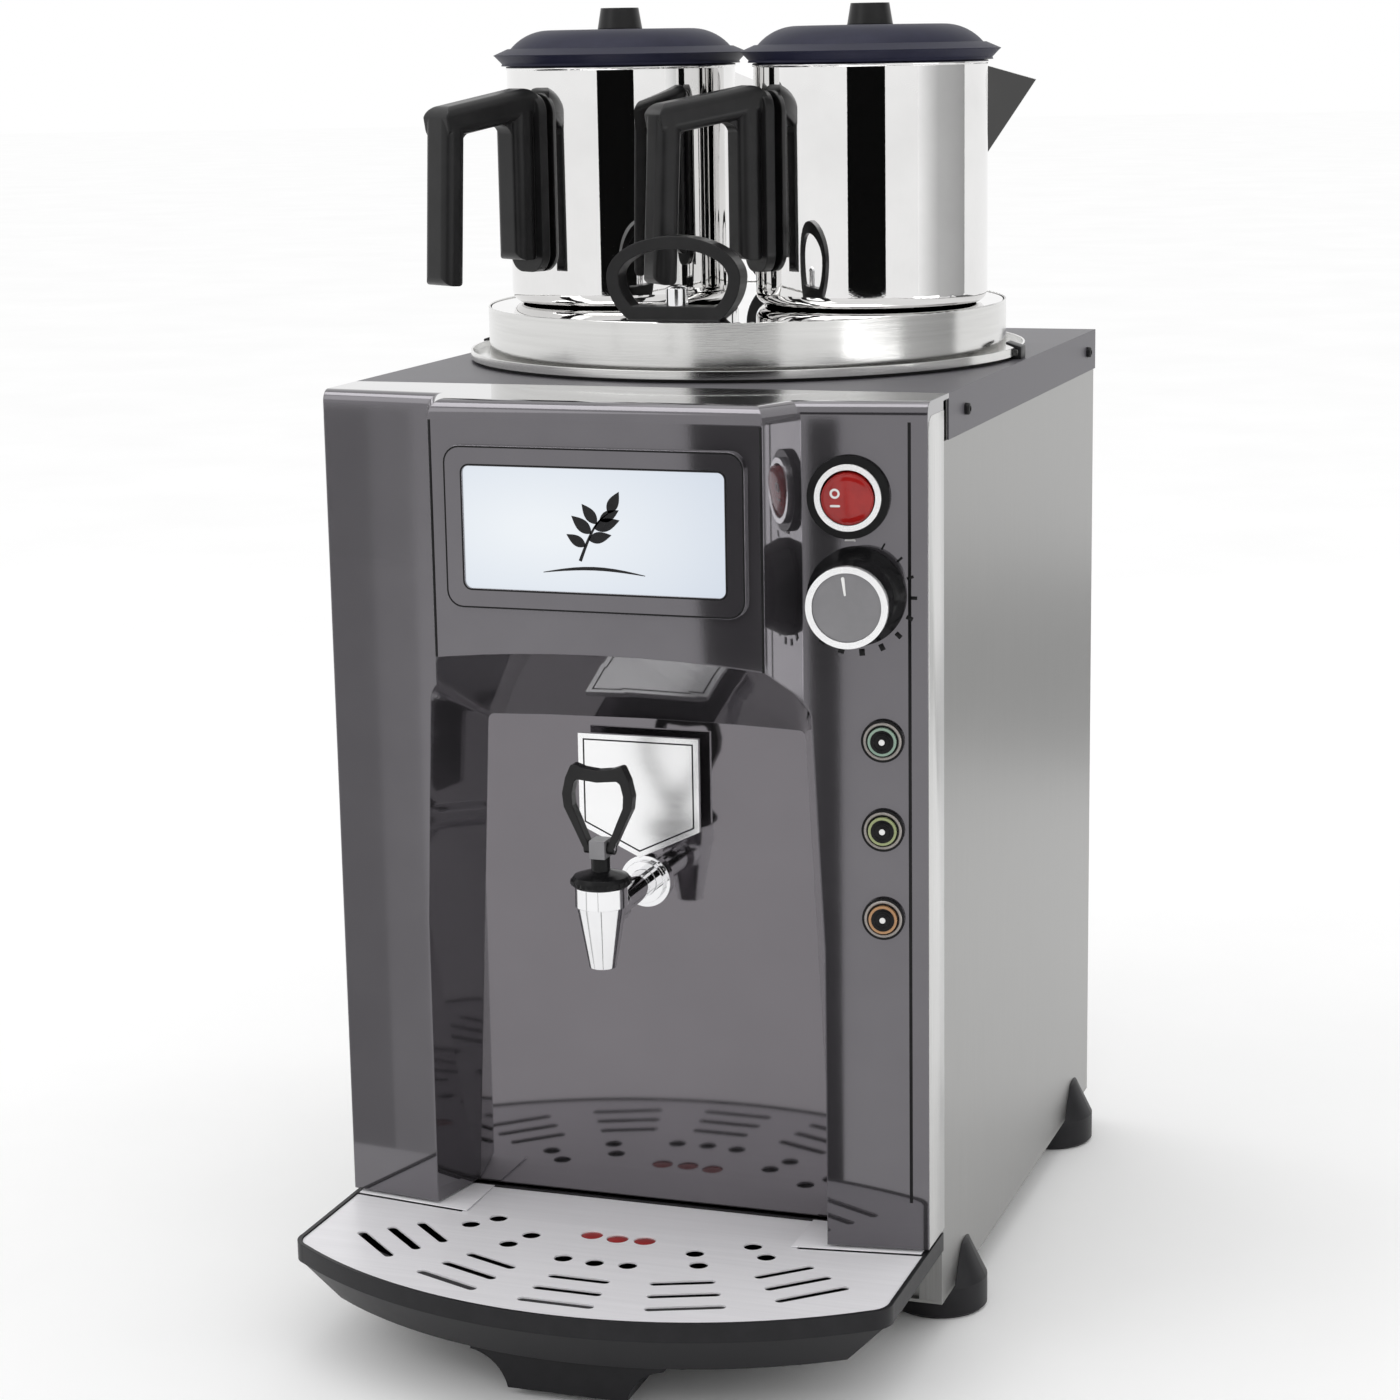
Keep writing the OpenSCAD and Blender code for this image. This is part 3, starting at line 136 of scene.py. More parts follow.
LOOKS = {
    "fascia_gloss": dict(dark=(0.112, 0.105, 0.117), light=(0.122, 0.115, 0.127), rough=(0.025, 0.045),
                         metallic=0.74, grain=30, bump=0.004, bevel=0.0012, coat=1.0),
    "tinted_mirror": dict(dark=(0.172, 0.162, 0.174), light=(0.184, 0.173, 0.186), rough=(0.04, 0.07),
                          metallic=0.95, grain=12, bump=0.006),
    "cover_paint": dict(dark=(0.1, 0.096, 0.108), light=(0.118, 0.113, 0.126), rough=(0.36, 0.44),
                        metallic=0.2, grain=30, bump=0.015, bevel=0.0008, specular=0.25),
    "side_steel": dict(dark=(0.3, 0.298, 0.292), light=(0.35, 0.348, 0.341), rough=(0.27, 0.37),
                       metallic=1.0, grain=14, stretch=(60, 60, 1.2), bump=0.05, bump_grain=120),
    "pan_steel": dict(dark=(0.32, 0.32, 0.31), light=(0.4, 0.4, 0.39), rough=(0.35, 0.5),
                      metallic=1.0, grain=40),
    "black_plastic": dict(dark=(0.009, 0.0088, 0.0102), light=(0.014, 0.0136, 0.0156), rough=(0.36, 0.48),
                          grain=80, bump=0.1, bump_grain=2200, bevel=0.0008, specular=0.25),
    "black_metal": dict(dark=(0.008, 0.008, 0.009), light=(0.015, 0.015, 0.016), rough=(0.3, 0.45),
                        metallic=0.3, grain=200, specular=0.3),
    "black_gloss": dict(dark=(0.006, 0.006, 0.0065), light=(0.01, 0.01, 0.0105), rough=(0.12, 0.2),
                        grain=90, bump=0.03, bevel=0.0006, specular=0.14),
    "tank_steel": dict(dark=(0.5, 0.495, 0.48), light=(0.58, 0.575, 0.56), rough=(0.16, 0.24),
                       metallic=1.0, grain=8, stretch=(1, 1, 40), bump=0.04, bump_grain=60),
    "polished_steel": dict(dark=(0.78, 0.775, 0.77), light=(0.84, 0.835, 0.83), rough=(0.008, 0.02),
                           metallic=1.0, grain=20, bump=0.006),
    "bakelite": dict(dark=(0.009, 0.0088, 0.0092), light=(0.014, 0.0137, 0.0143), rough=(0.26, 0.36),
                     grain=70, bump=0.04, bump_grain=1500, bevel=0.0014, specular=0.25),
    "chrome_plate": dict(dark=(0.82, 0.82, 0.83), light=(0.87, 0.87, 0.88), rough=(0.03, 0.06),
                         metallic=1.0, grain=40, bump=0.005, bevel=0.0005),
    "element_metal": dict(dark=(0.3, 0.28, 0.26), light=(0.4, 0.37, 0.35), rough=(0.35, 0.5),
                          metallic=1.0, grain=90),
    "brass_parts": dict(dark=(0.55, 0.39, 0.18), light=(0.62, 0.46, 0.22), rough=(0.2, 0.35),
                        metallic=1.0, grain=70),
    "rubber_parts": dict(dark=(0.01, 0.01, 0.01), light=(0.016, 0.016, 0.016), rough=(0.55, 0.7),
                         grain=120, bump=0.15, specular=0.3),
    "grey_plastic": dict(dark=(0.2, 0.197, 0.205), light=(0.23, 0.226, 0.235), rough=(0.28, 0.36),
                         metallic=0.3, grain=50, bump=0.03),
    "white_plastic": dict(dark=(0.74, 0.74, 0.73), light=(0.8, 0.8, 0.79), rough=(0.35, 0.45), grain=40),
    "red_plastic": dict(dark=(0.26, 0.008, 0.008), light=(0.4, 0.016, 0.013), rough=(0.08, 0.16), bump=0.02),
    "lamp_green": dict(dark=(0.2, 0.3, 0.24), light=(0.27, 0.37, 0.29), rough=(0.1, 0.18)),
    "lamp_yellow": dict(dark=(0.26, 0.3, 0.14), light=(0.33, 0.37, 0.18), rough=(0.1, 0.18)),
    "lamp_orange": dict(dark=(0.38, 0.2, 0.09), light=(0.46, 0.26, 0.12), rough=(0.1, 0.18)),
    "drip_steel": dict(dark=(0.84, 0.83, 0.855), light=(0.9, 0.89, 0.915), rough=(0.3, 0.4),
                       metallic=0.05, grain=10, stretch=(1, 30, 1), bump=0.02, bump_grain=80),
    "navy_plastic": dict(dark=(0.012, 0.0125, 0.03), light=(0.018, 0.0187, 0.04), rough=(0.42, 0.52),
                         grain=90, bump=0.05, bump_grain=1400, bevel=0.0008, specular=0.16),
    # A lighter copy of side_steel: painted highlight for the fascia's side returns
    "highlight_steel": dict(dark=(0.62, 0.618, 0.61), light=(0.7, 0.698, 0.69), rough=(0.25, 0.35),
                       metallic=1.0, grain=14, stretch=(60, 60, 1.2), bump=0.04, bump_grain=120),
    "collar_steel": dict(dark=(0.64, 0.637, 0.625), light=(0.72, 0.717, 0.705), rough=(0.12, 0.19),
                         metallic=1.0, grain=10, stretch=(1, 1, 50), bump=0.04, bump_grain=60),
    "satin_plate": dict(dark=(0.93, 0.93, 0.935), light=(0.97, 0.97, 0.975), rough=(0.2, 0.28),
                        metallic=0.8, grain=12, stretch=(1, 1, 30), bump=0.008, bump_grain=80),
}
paint = {name: surface(name, **look) for name, look in LOOKS.items()}

GLOW_SCALE = (3.2, 0, 7.0)
GLOW_SHIFT = 0.1
GLOW_STOPS = [(0.45, (0.66, 0.73, 0.84)), (0.95, (0.9, 0.94, 0.98))]
GLOW_STRENGTH = 0.88
GLASS_COLOUR = (0.02, 0.022, 0.026, 1)
GLASS_ROUGHNESS = (0.08, 0.16)


def lit_screen():
    """Backlit window: pale blue, brightest left of its middle."""
    mat, tree, shader = new_material("screen_glass")
    place = add_node(tree, "ShaderNodeTexCoord")
    middle = middle_of("screen_lens")
    origin = (GLOW_SHIFT - GLOW_SCALE[0] * middle.x, 0, -GLOW_SCALE[2] * middle.z)
    mapping = add_node(tree, "ShaderNodeMapping", vector_type="POINT", Location=origin, Scale=GLOW_SCALE)
    tree.links.new(place.outputs["Object"], mapping.inputs["Vector"])
    glow = add_node(tree, "ShaderNodeTexGradient", gradient_type="SPHERICAL")
    tree.links.new(mapping.outputs["Vector"], glow.inputs["Vector"])
    tree.links.new(ramp(tree, glow.outputs["Fac"], GLOW_STOPS), shader.inputs["Emission Color"])
    shader.inputs["Emission Strength"].default_value = GLOW_STRENGTH
    shader.inputs["Base Color"].default_value = GLASS_COLOUR
    cloud = add_node(tree, "ShaderNodeTexNoise", Scale=40.0)
    tree.links.new(spread(tree, cloud.outputs["Fac"], *GLASS_ROUGHNESS), shader.inputs["Roughness"])
    return mat


paint["screen_glass"] = lit_screen()

# Nodes whose finish in the photo differs from that of their slot
OTHER_FINISH = {
    "screen_bezel": "fascia_gloss",
    "tank_collar": "collar_steel",
    "name_plate": "satin_plate",
    "switch_ring": "satin_plate",
    "knob_ring": "satin_plate",
}
slot_of = {piece["node"]: piece["material_slot"] for piece in record["subparts"]}
for name, obj in nodes.items():
    obj.data.materials.clear()
    obj.data.materials.append(paint[OTHER_FINISH.get(name, slot_of[name])])


# Added detail, built here in millimetres and carried by the CAD bodies

COLUMN_W = 69
CREASE_OUT = 9
PANEL_OUT = 38
fascia_low, fascia_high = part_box("front_fascia")
CORNER = Vector((fascia_high.x, fascia_low.y + PANEL_OUT * MM, 0))
COLUMN_TURN = math.atan2(CREASE_OUT, COLUMN_W)
ALONG = Vector((math.cos(COLUMN_TURN), math.sin(COLUMN_TURN), 0))
OUT = Vector((math.sin(COLUMN_TURN), -math.cos(COLUMN_TURN), 0))
cover_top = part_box("top_cover")[1].z


def frame_at(place, x_axis, y_axis):
    """Matrix of a local frame whose +z is x_axis cross y_axis."""
    matrix = Matrix((x_axis, y_axis, x_axis.cross(y_axis))).transposed().to_4x4()
    matrix.translation = place
    return matrix


def facing_front(y, z):
    """Frame in the middle plane on a face that looks to the front, in metres."""
    return frame_at(Vector((0, y, z)), RIGHT, UP)


def on_column(x, z, out=0.0):
    """Frame on the right column's face, or that far out from it, in millimetres."""
    foot = CORNER + ALONG * ((x * MM - CORNER.x) / ALONG.x)
    return frame_at(foot + UP * z * MM + OUT * out * MM, ALONG, UP)


def turned(angle, out=0.0):
    return Matrix.Rotation(math.radians(angle), 4, "Z") @ Matrix.Translation((out * MM, 0, 0))


def shifted(x, y):
    return Matrix.Translation((x * MM, y * MM, 0))


def add_piece(name, mesh_parts, slot, body, sharp=40, better=None):
    """One object from (bmesh, matrix) pairs in millimetres, in its slot's finish or a better one."""
    whole = bpy.data.meshes.new(name)
    joined = bmesh.new()
    for part, matrix in mesh_parts:
        part.transform(matrix @ Matrix.Scale(MM, 4))
        spare = bpy.data.meshes.new(name + "_spare")
        part.to_mesh(spare)
        part.free()
        joined.from_mesh(spare)
        bpy.data.meshes.remove(spare)
    bmesh.ops.recalc_face_normals(joined, faces=joined.faces)
    joined.to_mesh(whole)
    joined.free()
    for face in whole.polygons:
        face.use_smooth = True
    whole.set_sharp_from_angle(angle=math.radians(sharp))
    whole.materials.append(paint[better or slot])
    obj = bpy.data.objects.new(name, whole)
    scene.collection.objects.link(obj)
    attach(obj, body)


def lathe(profile, steps=48, wave=None):
    """Turned form about +z from (radius, height) points; wave(turn) multiplies radii with a third value."""
    form = bmesh.new()
    rings = []
    for radius, height, *marked in profile:
        if radius == 0:
            rings.append([form.verts.new((0, 0, height))])
            continue
        ring = []
        for i in range(steps):
            turn = 2 * math.pi * i / steps
            r = radius * wave(turn) if wave and marked else radius
            ring.append(form.verts.new((r * math.cos(turn), r * math.sin(turn), height)))
        rings.append(ring)
    for below, above in zip(rings, rings[1:]):
        for i in range(steps):
            j = (i + 1) % steps
            corners = [ring[k % len(ring)] for ring, k in ((below, i), (below, j), (above, j), (above, i))]
            form.faces.new(list(dict.fromkeys(corners)))
    return form


def plate(outline, height, bevel=0.0, base=0.0):
    """Flat form from an outline in x and y, standing from base to height, with its edges rounded off."""
    form = bmesh.new()
    low = [form.verts.new((x, y, base)) for x, y in outline]
    high = [form.verts.new((x, y, height)) for x, y in outline]
    form.faces.new(low[::-1])
    form.faces.new(high)
    for i in range(len(outline)):
        j = (i + 1) % len(outline)
        form.faces.new([low[i], low[j], high[j], high[i]])
    if bevel:
        bmesh.ops.bevel(form, geom=list(form.edges), offset=bevel, segments=2, affect="EDGES", profile=0.5)
    return form


def outline_ring(outlines):
    """Closed band through (outline, height) pairs that have as many points each."""
    form = bmesh.new()
    rings = [[form.verts.new((x, y, height)) for x, y in outline] for outline, height in outlines]
    for outer, inner in zip(rings, rings[1:]):
        for i in range(len(outer)):
            j = (i + 1) % len(outer)
            form.faces.new([outer[i], outer[j], inner[j], inner[i]])
    return form


def rectangle(x0, x1, y0, y1):
    return [(x0, y0), (x1, y0), (x1, y1), (x0, y1)]


def rounded_rect(width, height, radius, steps=6):
    """Outline round the origin with rounded corners."""
    points = []
    for quarter, (sx, sy) in enumerate(((1, 1), (-1, 1), (-1, -1), (1, -1))):
        for i in range(steps + 1):
            turn = math.pi / 2 * (quarter + i / steps)
            points.append((sx * (width / 2 - radius) + radius * math.cos(turn),
                           sy * (height / 2 - radius) + radius * math.sin(turn)))
    return points


def rounded_bar(length, width, tip, steps=8):
    """Outline along +x with round ends: width at the start, tip at the far end."""
    points = []
    for x, radius, start in ((length, tip / 2, -0.5), (0, width / 2, 0.5)):
        for i in range(steps + 1):
            turn = math.pi * (i / steps + start)
            points.append((x + radius * math.cos(turn), radius * math.sin(turn)))
    return points


# Thermostat: a pale pointer on the knob, dark bars round its skirt that widen and a pale arrow at their start
KNOB_X = 141
KNOB_Z = middle_of("knob_face").z / MM
KNOB_FACE_OUT = 37
POINTER_TURN = 97
POINTER_START = 7
SCALE_BARS = 10
SCALE_START = 62
SCALE_STEP = 21
SCALE_R = 29.6
BAR_LENGTH = 3.8
FIRST_BAR_HALF = 0.5
BAR_WIDENING = 0.15
ARROW = [(-3.2, 0), (3.2, 0), (0, 5.6)]
ARROW_PLACE = (-3.5, 30.5)
knob_foot = on_column(KNOB_X, KNOB_Z)
pointer = plate(rounded_bar(length=9, width=1.1, tip=1.9), height=0.5, bevel=0.15, base=-0.3)
pointer_place = on_column(KNOB_X, KNOB_Z, KNOB_FACE_OUT) @ turned(POINTER_TURN, POINTER_START)
add_piece("knob_pointer", [(pointer, pointer_place)], "white_plastic", "thermostat_dial")
scale_bars = []
for i in range(SCALE_BARS):
    half = FIRST_BAR_HALF + BAR_WIDENING * i
    bar = plate(rectangle(0, BAR_LENGTH, -half, half), height=0.35, bevel=0.1, base=-0.3)
    scale_bars.append((bar, knob_foot @ turned(SCALE_START - SCALE_STEP * i, SCALE_R)))
add_piece("knob_scale", scale_bars, "black_gloss", "housing")
arrow = plate(ARROW, height=0.4, bevel=0.12, base=-0.3)
add_piece("knob_arrow", [(arrow, knob_foot @ shifted(*ARROW_PLACE))], "white_plastic", "housing")

# Push buttons: metal rings on the bezels, dark domes with a pale pip on the caps; the pip is a painted
# highlight
BUTTON_X = 155
BUTTON_BEZEL_OUT = 2.5
BUTTON_CAP_OUT = 4.5
RING_PROFILE = [(9.0, -0.3), (9.1, 0.35), (9.6, 0.65), (10.3, 0.6), (10.7, 0.2), (10.7, -0.3)]
DOME_PROFILE = [(6.6, -0.2), (6.5, 0.35), (5.6, 0.75), (4.6, 0.8), (4.3, 0.45), (3.9, 0.5), (3.4, 0.95),
                (2.2, 1.1), (1.7, 0.8), (0, 0.8)]
GLINT_PROFILE = [(1.75, 0.6), (1.65, 1.2), (0.9, 1.5), (0, 1.55)]
button_zs = {name: middle_of(name + "_button").z / MM for name in ("upper", "middle", "lower")}
button_rings = [(lathe(RING_PROFILE), on_column(BUTTON_X, z, BUTTON_BEZEL_OUT)) for z in button_zs.values()]
add_piece("button_rings", button_rings, "element_metal", "housing")
for name, z in button_zs.items():
    cap = on_column(BUTTON_X, z, BUTTON_CAP_OUT)
    add_piece(name + "_button_dome", [(lathe(DOME_PROFILE), cap)], "black_gloss", "button_" + name)
    # The pale pip on each cap is a painted highlight of the domed lens.
    add_piece(name + "_button_glint", [(lathe(GLINT_PROFILE, steps=24), cap)], "white_plastic", "button_" + name)

# Power rocker: a domed red lens with a moulded ring and bar
SWITCH_X = 137
SWITCH_Z = middle_of("switch_ring").z / MM
ROCKER_AXIS_OUT = 1.5
ROCKER_FACE_OUT = 4.5
ROCKER_TILT = math.radians(8)
LENS_PROFILE = [(13.9, -0.3), (13.7, 0.4), (12.6, 0.95), (10, 1.35), (6, 1.65), (0, 1.75)]
MARK_PROFILE = [(1.5, 1.1), (1.6, 1.75), (2.2, 1.95), (2.8, 1.75), (2.9, 1.1)]
MARK_RING_PLACE = (-6.6, 3.6)
MARK_BAR_PLACE = (-8.8, -3.4)
rocker_out = OUT * math.cos(ROCKER_TILT) - UP * math.sin(ROCKER_TILT)
rocker_up = UP * math.cos(ROCKER_TILT) + OUT * math.sin(ROCKER_TILT)
rocker_axis = on_column(SWITCH_X, SWITCH_Z, ROCKER_AXIS_OUT).translation
rocker_face = frame_at(rocker_axis + rocker_out * ROCKER_FACE_OUT * MM, ALONG, rocker_up)
add_piece("rocker_lens", [(lathe(LENS_PROFILE), rocker_face)], "red_plastic", "rocker")
mark_ring = lathe(MARK_PROFILE, steps=32)
mark_bar = plate(rounded_bar(length=4.4, width=1.3, tip=1.3), height=1.85, bevel=0.2, base=1.0)
rocker_mark = [(mark_ring, rocker_face @ shifted(*MARK_RING_PLACE)),
               (mark_bar, rocker_face @ shifted(*MARK_BAR_PLACE))]
add_piece("rocker_mark", rocker_mark, "white_plastic", "rocker")


# Screen: a sprig of leaves over a curved line
def leaf(length, width, steps=12):
    """Outline of a leaf along +x."""
    side = []
    for i in range(1, steps):
        side.append((length * i / steps, width / 2 * math.sin(math.pi * (i / steps) ** 0.8)))
    return [(0, 0)] + [(x, -y) for x, y in side] + [(length, 0)] + side[::-1]


def ribbon(points, widths):
    """Outline of a line through points that changes its width."""
    one_side = []
    other_side = []
    for i, (x, y) in enumerate(points):
        x0, y0 = points[max(i - 1, 0)]
        x1, y1 = points[min(i + 1, len(points) - 1)]
        run = math.hypot(x1 - x0, y1 - y0)
        across_x = (y0 - y1) / run * widths[i] / 2
        across_y = (x1 - x0) / run * widths[i] / 2
        one_side.append((x + across_x, y + across_y))
        other_side.append((x - across_x, y - across_y))
    return other_side + one_side[::-1]


SPRIG_DROP = 3
SPRIG_STEPS = 10
LEAVES = ((150, 13), (12, 14), (140, 15), (18, 16), (128, 14), (28, 13), (62, 14))
FIRST_LEAF = 2
LEAF_WIDTH = 0.46
INK = dict(height=0.25, base=-0.2)
glass = facing_front(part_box("screen_lens")[0].y, middle_of("screen_lens").z - SPRIG_DROP * MM)
shares = [i / SPRIG_STEPS for i in range(SPRIG_STEPS + 1)]
arcs = [math.sin(math.pi * share) for share in shares]
stem = [(-8 + 17 * share, -14 + 27 * share + 5 * arc) for share, arc in zip(shares, arcs)]
sprig = [(plate(ribbon(stem, [1.9 - 1.3 * share for share in shares]), **INK), glass)]
leaf_feet = stem[FIRST_LEAF:FIRST_LEAF + len(LEAVES) - 1] + stem[-1:]
for (lean, length), foot in zip(LEAVES, leaf_feet):
    blade = plate(leaf(length, length * LEAF_WIDTH), **INK)
    sprig.append((blade, glass @ shifted(*foot) @ turned(lean)))
bow = [(-30 + 60 * share, -21 + 3 * arc) for share, arc in zip(shares, arcs)]
sprig.append((plate(ribbon(bow, [0.4 + 1.6 * arc for arc in arcs]), **INK), glass))
add_piece("leaf_sprig", sprig, "black_metal", "housing")

# Fine dark lines round the screen's bezel, round its window and down the screen panel's edges: painted shade
# along the bezel's raised edges and the panel's creases
BEZEL_R = 10
BEZEL_BORDER = 11.5
BEZEL_SHADE_INSET = 0.3
WINDOW_R = 4
WINDOW_SHADE_OUT = 1.2
SHADE_LINE_PROFILE = ((0.0, -0.1), (0.05, 0.1), (0.95, 0.1), (1.0, -0.1))
bezel_low, bezel_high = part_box("screen_bezel")
bezel_w, _, bezel_h = (bezel_high - bezel_low) / MM
bezel_face = facing_front(bezel_low.y, middle_of("screen_bezel").z)
bezel_shade_lines = []
for inset, radius in ((BEZEL_SHADE_INSET, BEZEL_R), (BEZEL_BORDER - WINDOW_SHADE_OUT, WINDOW_R + BEZEL_BORDER)):
    line = []
    for step, height in SHADE_LINE_PROFILE:
        cut = inset + step
        line.append((rounded_rect(bezel_w - 2 * cut, bezel_h - 2 * cut, radius - cut), height))
    bezel_shade_lines.append((outline_ring(line), bezel_face))
# The two dark rings are painted shade of the bezel's raised edges.
add_piece("bezel_shade_lines", bezel_shade_lines, "black_gloss", "housing", sharp=20)

# Dark strips down both edges of the screen panel: painted shade at its creases.
PANEL_SHADE_XS = (96.4, 97.9)
PANEL_SHADE_ZS = (408, 543)
panel_face = facing_front(fascia_low.y, 0)
panel_shade_lines = []
for _, side in SIDES:
    line = rectangle(*(side * x for x in PANEL_SHADE_XS), *PANEL_SHADE_ZS)
    panel_shade_lines.append((plate(line, height=0.15, bevel=0.05, base=-0.1), panel_face))
add_piece("panel_shade_lines", panel_shade_lines, "black_gloss", "housing")

# Name plate: a bare shield with a fine border
SHIELD_POINT = 17.5
BORDER_PROFILE = ((3.0, -0.1), (3.1, 0.2), (3.9, 0.2), (4.0, -0.1))
plate_low, plate_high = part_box("name_plate")
shield_half = plate_high.x / MM
shield_h = (plate_high.z - plate_low.z) / MM


def shield(inset):
    """Outline of the name plate, moved in by inset."""
    half = shield_half - inset
    tip = inset * math.hypot(SHIELD_POINT, shield_half) / shield_half
    shoulder = tip + SHIELD_POINT * half / shield_half
    top = shield_h - inset
    return [(0, tip), (half, shoulder), (half, top), (-half, top), (-half, shoulder)]


border = outline_ring([(shield(inset), height) for inset, height in BORDER_PROFILE])
plate_face = facing_front(plate_low.y, plate_low.z)
add_piece("plate_border", [(border, plate_face)], "black_metal", "housing", sharp=20)

# Bright strips over the fascia's side returns, a painted highlight; their outline is (distance behind the
# corner, height)
RETURN_HIGHLIGHT = [(0.6, 69), (33.4, 69), (33.4, 546), (8, 546), (2.6, 543), (0.6, 538)]
for name, side in SIDES:
    strip = plate(RETURN_HIGHLIGHT, height=0.5, bevel=0.2, base=-0.2)
    if side < 0:
        bmesh.ops.scale(strip, vec=(1, 1, -1), verts=strip.verts)
    wall = frame_at(Vector((side * CORNER.x, CORNER.y, 0)), BACK, UP)
    add_piece(name + "_return_highlight", [(strip, wall)], "side_steel", "housing", better="highlight_steel")

# Steel strips on the tray's rim beside the columns
TRAY_STRIP = [(101.4, -12.4), (176, -2.7), (176, 31.5), (101.4, 31.5)]
tray_rim = Matrix.Translation((0, CORNER.y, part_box("drip_tray")[1].z))
for name, side in SIDES:
    skin = plate([(side * x, y) for x, y in TRAY_STRIP], height=0.35, bevel=0.12, base=-0.1)
    add_piece(name + "_tray_strip", [(skin, tray_rim)], "drip_steel", "tray")

# A fine dark line down the control column: painted shade of a groove, drawn as a dark strip
COLUMN_SHADE_X = 170
COLUMN_SHADE_HALF = 0.9
COLUMN_SHADE_ZS = (96, 543)
line = rectangle(-COLUMN_SHADE_HALF, COLUMN_SHADE_HALF, *COLUMN_SHADE_ZS)
column_shade_line = plate(line, height=0.2, bevel=0.08, base=-0.1)
add_piece("column_shade_line", [(column_shade_line, on_column(COLUMN_SHADE_X, 0))], "black_gloss", "housing")

# Spring clips at both ends of the collar's flange
CLIP_OUTLINE = [(-4, 0), (3.5, 0), (3.5, 7.5), (-6, 10.5), (-6, 9), (1.8, 6.2), (1.8, 1.8), (-4, 1.8)]
CLIP_W = 12
tank_middle = middle_of("tank")
for (name, side), collar_end in zip(SIDES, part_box("tank_collar")):
    place = Vector((collar_end.x, tank_middle.y + side * CLIP_W / 2 * MM, cover_top))
    clip = plate(CLIP_OUTLINE, height=CLIP_W, bevel=0.35)
    add_piece(name + "_collar_clip", [(clip, frame_at(place, side * RIGHT, UP))], "black_metal", "housing")

# Screw caps with hexagon sockets
CAP_PROFILE = [(3.3, -0.2), (3.3, 0.4), (2.9, 0.95), (2.1, 1.15), (1.75, 1.1, 1), (1.6, 0.25, 1), (0, 0.2)]
COVER_SCREW_YS = (84, 414)
COVER_SCREW_Z = 541
REAR_SCREW_X = 171.8
REAR_SCREW_ZS = (65, 295, 525)


def hexagon(turn):
    """Radius of a hexagon at a turn, as a share of its corners' radius."""
    return math.cos(math.pi / 6) / math.cos(turn % (math.pi / 3) - math.pi / 6)


screw_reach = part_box("housing_screws")[1]
cap_places = []
for _, side in SIDES:
    for y in COVER_SCREW_YS:
        place = Vector((side * screw_reach.x, y * MM + CORNER.y, COVER_SCREW_Z * MM))
        cap_places.append(frame_at(place, side * BACK, UP))
    for z in REAR_SCREW_ZS:
        place = Vector((side * REAR_SCREW_X * MM, screw_reach.y, z * MM))
        cap_places.append(frame_at(place, -RIGHT, UP))
screw_caps = [(lathe(CAP_PROFILE, wave=hexagon), place) for place in cap_places]
add_piece("screw_caps", screw_caps, "black_metal", "housing")

# Rear louvres: a pressed hood over each slot; their middle is a share of the housing's height
HOOD_OUTLINE = [(0, 3.6), (1.8, 3.2), (3.2, 1.6), (3.6, -0.8), (3.0, -0.8), (2.6, 1.2), (1.5, 2.5), (0, 2.9)]
HOOD_W = 72
LOUVRE_X = 90
LOUVRE_ROWS = 9
LOUVRE_PITCH = 14
LOUVRE_MIDDLE = 0.7
rear_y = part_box("rear_panel")[1].y
hoods = []
for _, side in SIDES:
    for row in range(LOUVRE_ROWS):
        z = LOUVRE_MIDDLE * cover_top + (row - LOUVRE_ROWS // 2) * LOUVRE_PITCH * MM
        place = Vector(((side * LOUVRE_X - HOOD_W / 2) * MM, rear_y, z))
        hoods.append((plate(HOOD_OUTLINE, height=HOOD_W, bevel=0.15), frame_at(place, BACK, UP)))
add_piece("louvre_hoods", hoods, "side_steel", "housing")

# Ribbed grip ring round the tap's bonnet
GRIP_PROFILE = [(16.6, -1.3), (17.2, -1.1, 1), (17.3, 0, 1), (17.2, 1.1, 1), (16.6, 1.3)]
GRIP_UP = 6.75
RIBS = 30
RIB_STEPS = 8
RIB_DEPTH = 0.014


def ribbed(turn):
    """Radius of the ribs at a turn, as a share of their middle radius."""
    return 1 + RIB_DEPTH * math.cos(RIBS * turn)


bonnet = middle_of("tap_bonnet")
grip_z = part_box("tap_bonnet")[0].z + GRIP_UP * MM
grip = lathe(GRIP_PROFILE, steps=RIBS * RIB_STEPS, wave=ribbed)
grip_place = Matrix.Translation((bonnet.x, bonnet.y, grip_z))
add_piece("bonnet_ribs", [(grip, grip_place)], "black_gloss", "housing")


# Camera, fitted to the photo

EYE = Vector((0.6136, -1.7966, 0.7465))
LOOK_ANGLES = (19.014, 11.815, -0.967)
yaw, pitch, roll = (math.radians(angle) for angle in LOOK_ANGLES)
ahead = Vector((-math.sin(yaw) * math.cos(pitch), math.cos(yaw) * math.cos(pitch), -math.sin(pitch)))
level_right = ahead.cross(UP).normalized()
level_up = level_right.cross(ahead)
camera_right = math.cos(roll) * level_right + math.sin(roll) * level_up
camera_up = math.cos(roll) * level_up - math.sin(roll) * level_right
camera_data = bpy.data.cameras.new("camera")
camera_data.sensor_width = 36
camera_data.lens = 80.86
camera_data.clip_end = 30
camera = bpy.data.objects.new("camera", camera_data)
pose = Matrix((camera_right, camera_up, -ahead)).transposed().to_4x4()
pose.translation = EYE
camera.matrix_world = pose
scene.collection.objects.link(camera)
scene.camera = camera


# Stage: a floor, boards and soft boxes that only reflections show, two lamps and a white world

FLOOR_SIZE = 80
FLOOR_Z = -0.0002
BOARD_Z = 0.0006
WALL_Y = -2.2
DARK_SHARE = 0.96


def matt(name, dark, light):
    """Dull grey paint."""
    return surface(name, (dark,) * 3, (light,) * 3, rough=(0.8, 0.9), grain=3, bump=0.0, bevel=0.0,
                   specular=0.0)


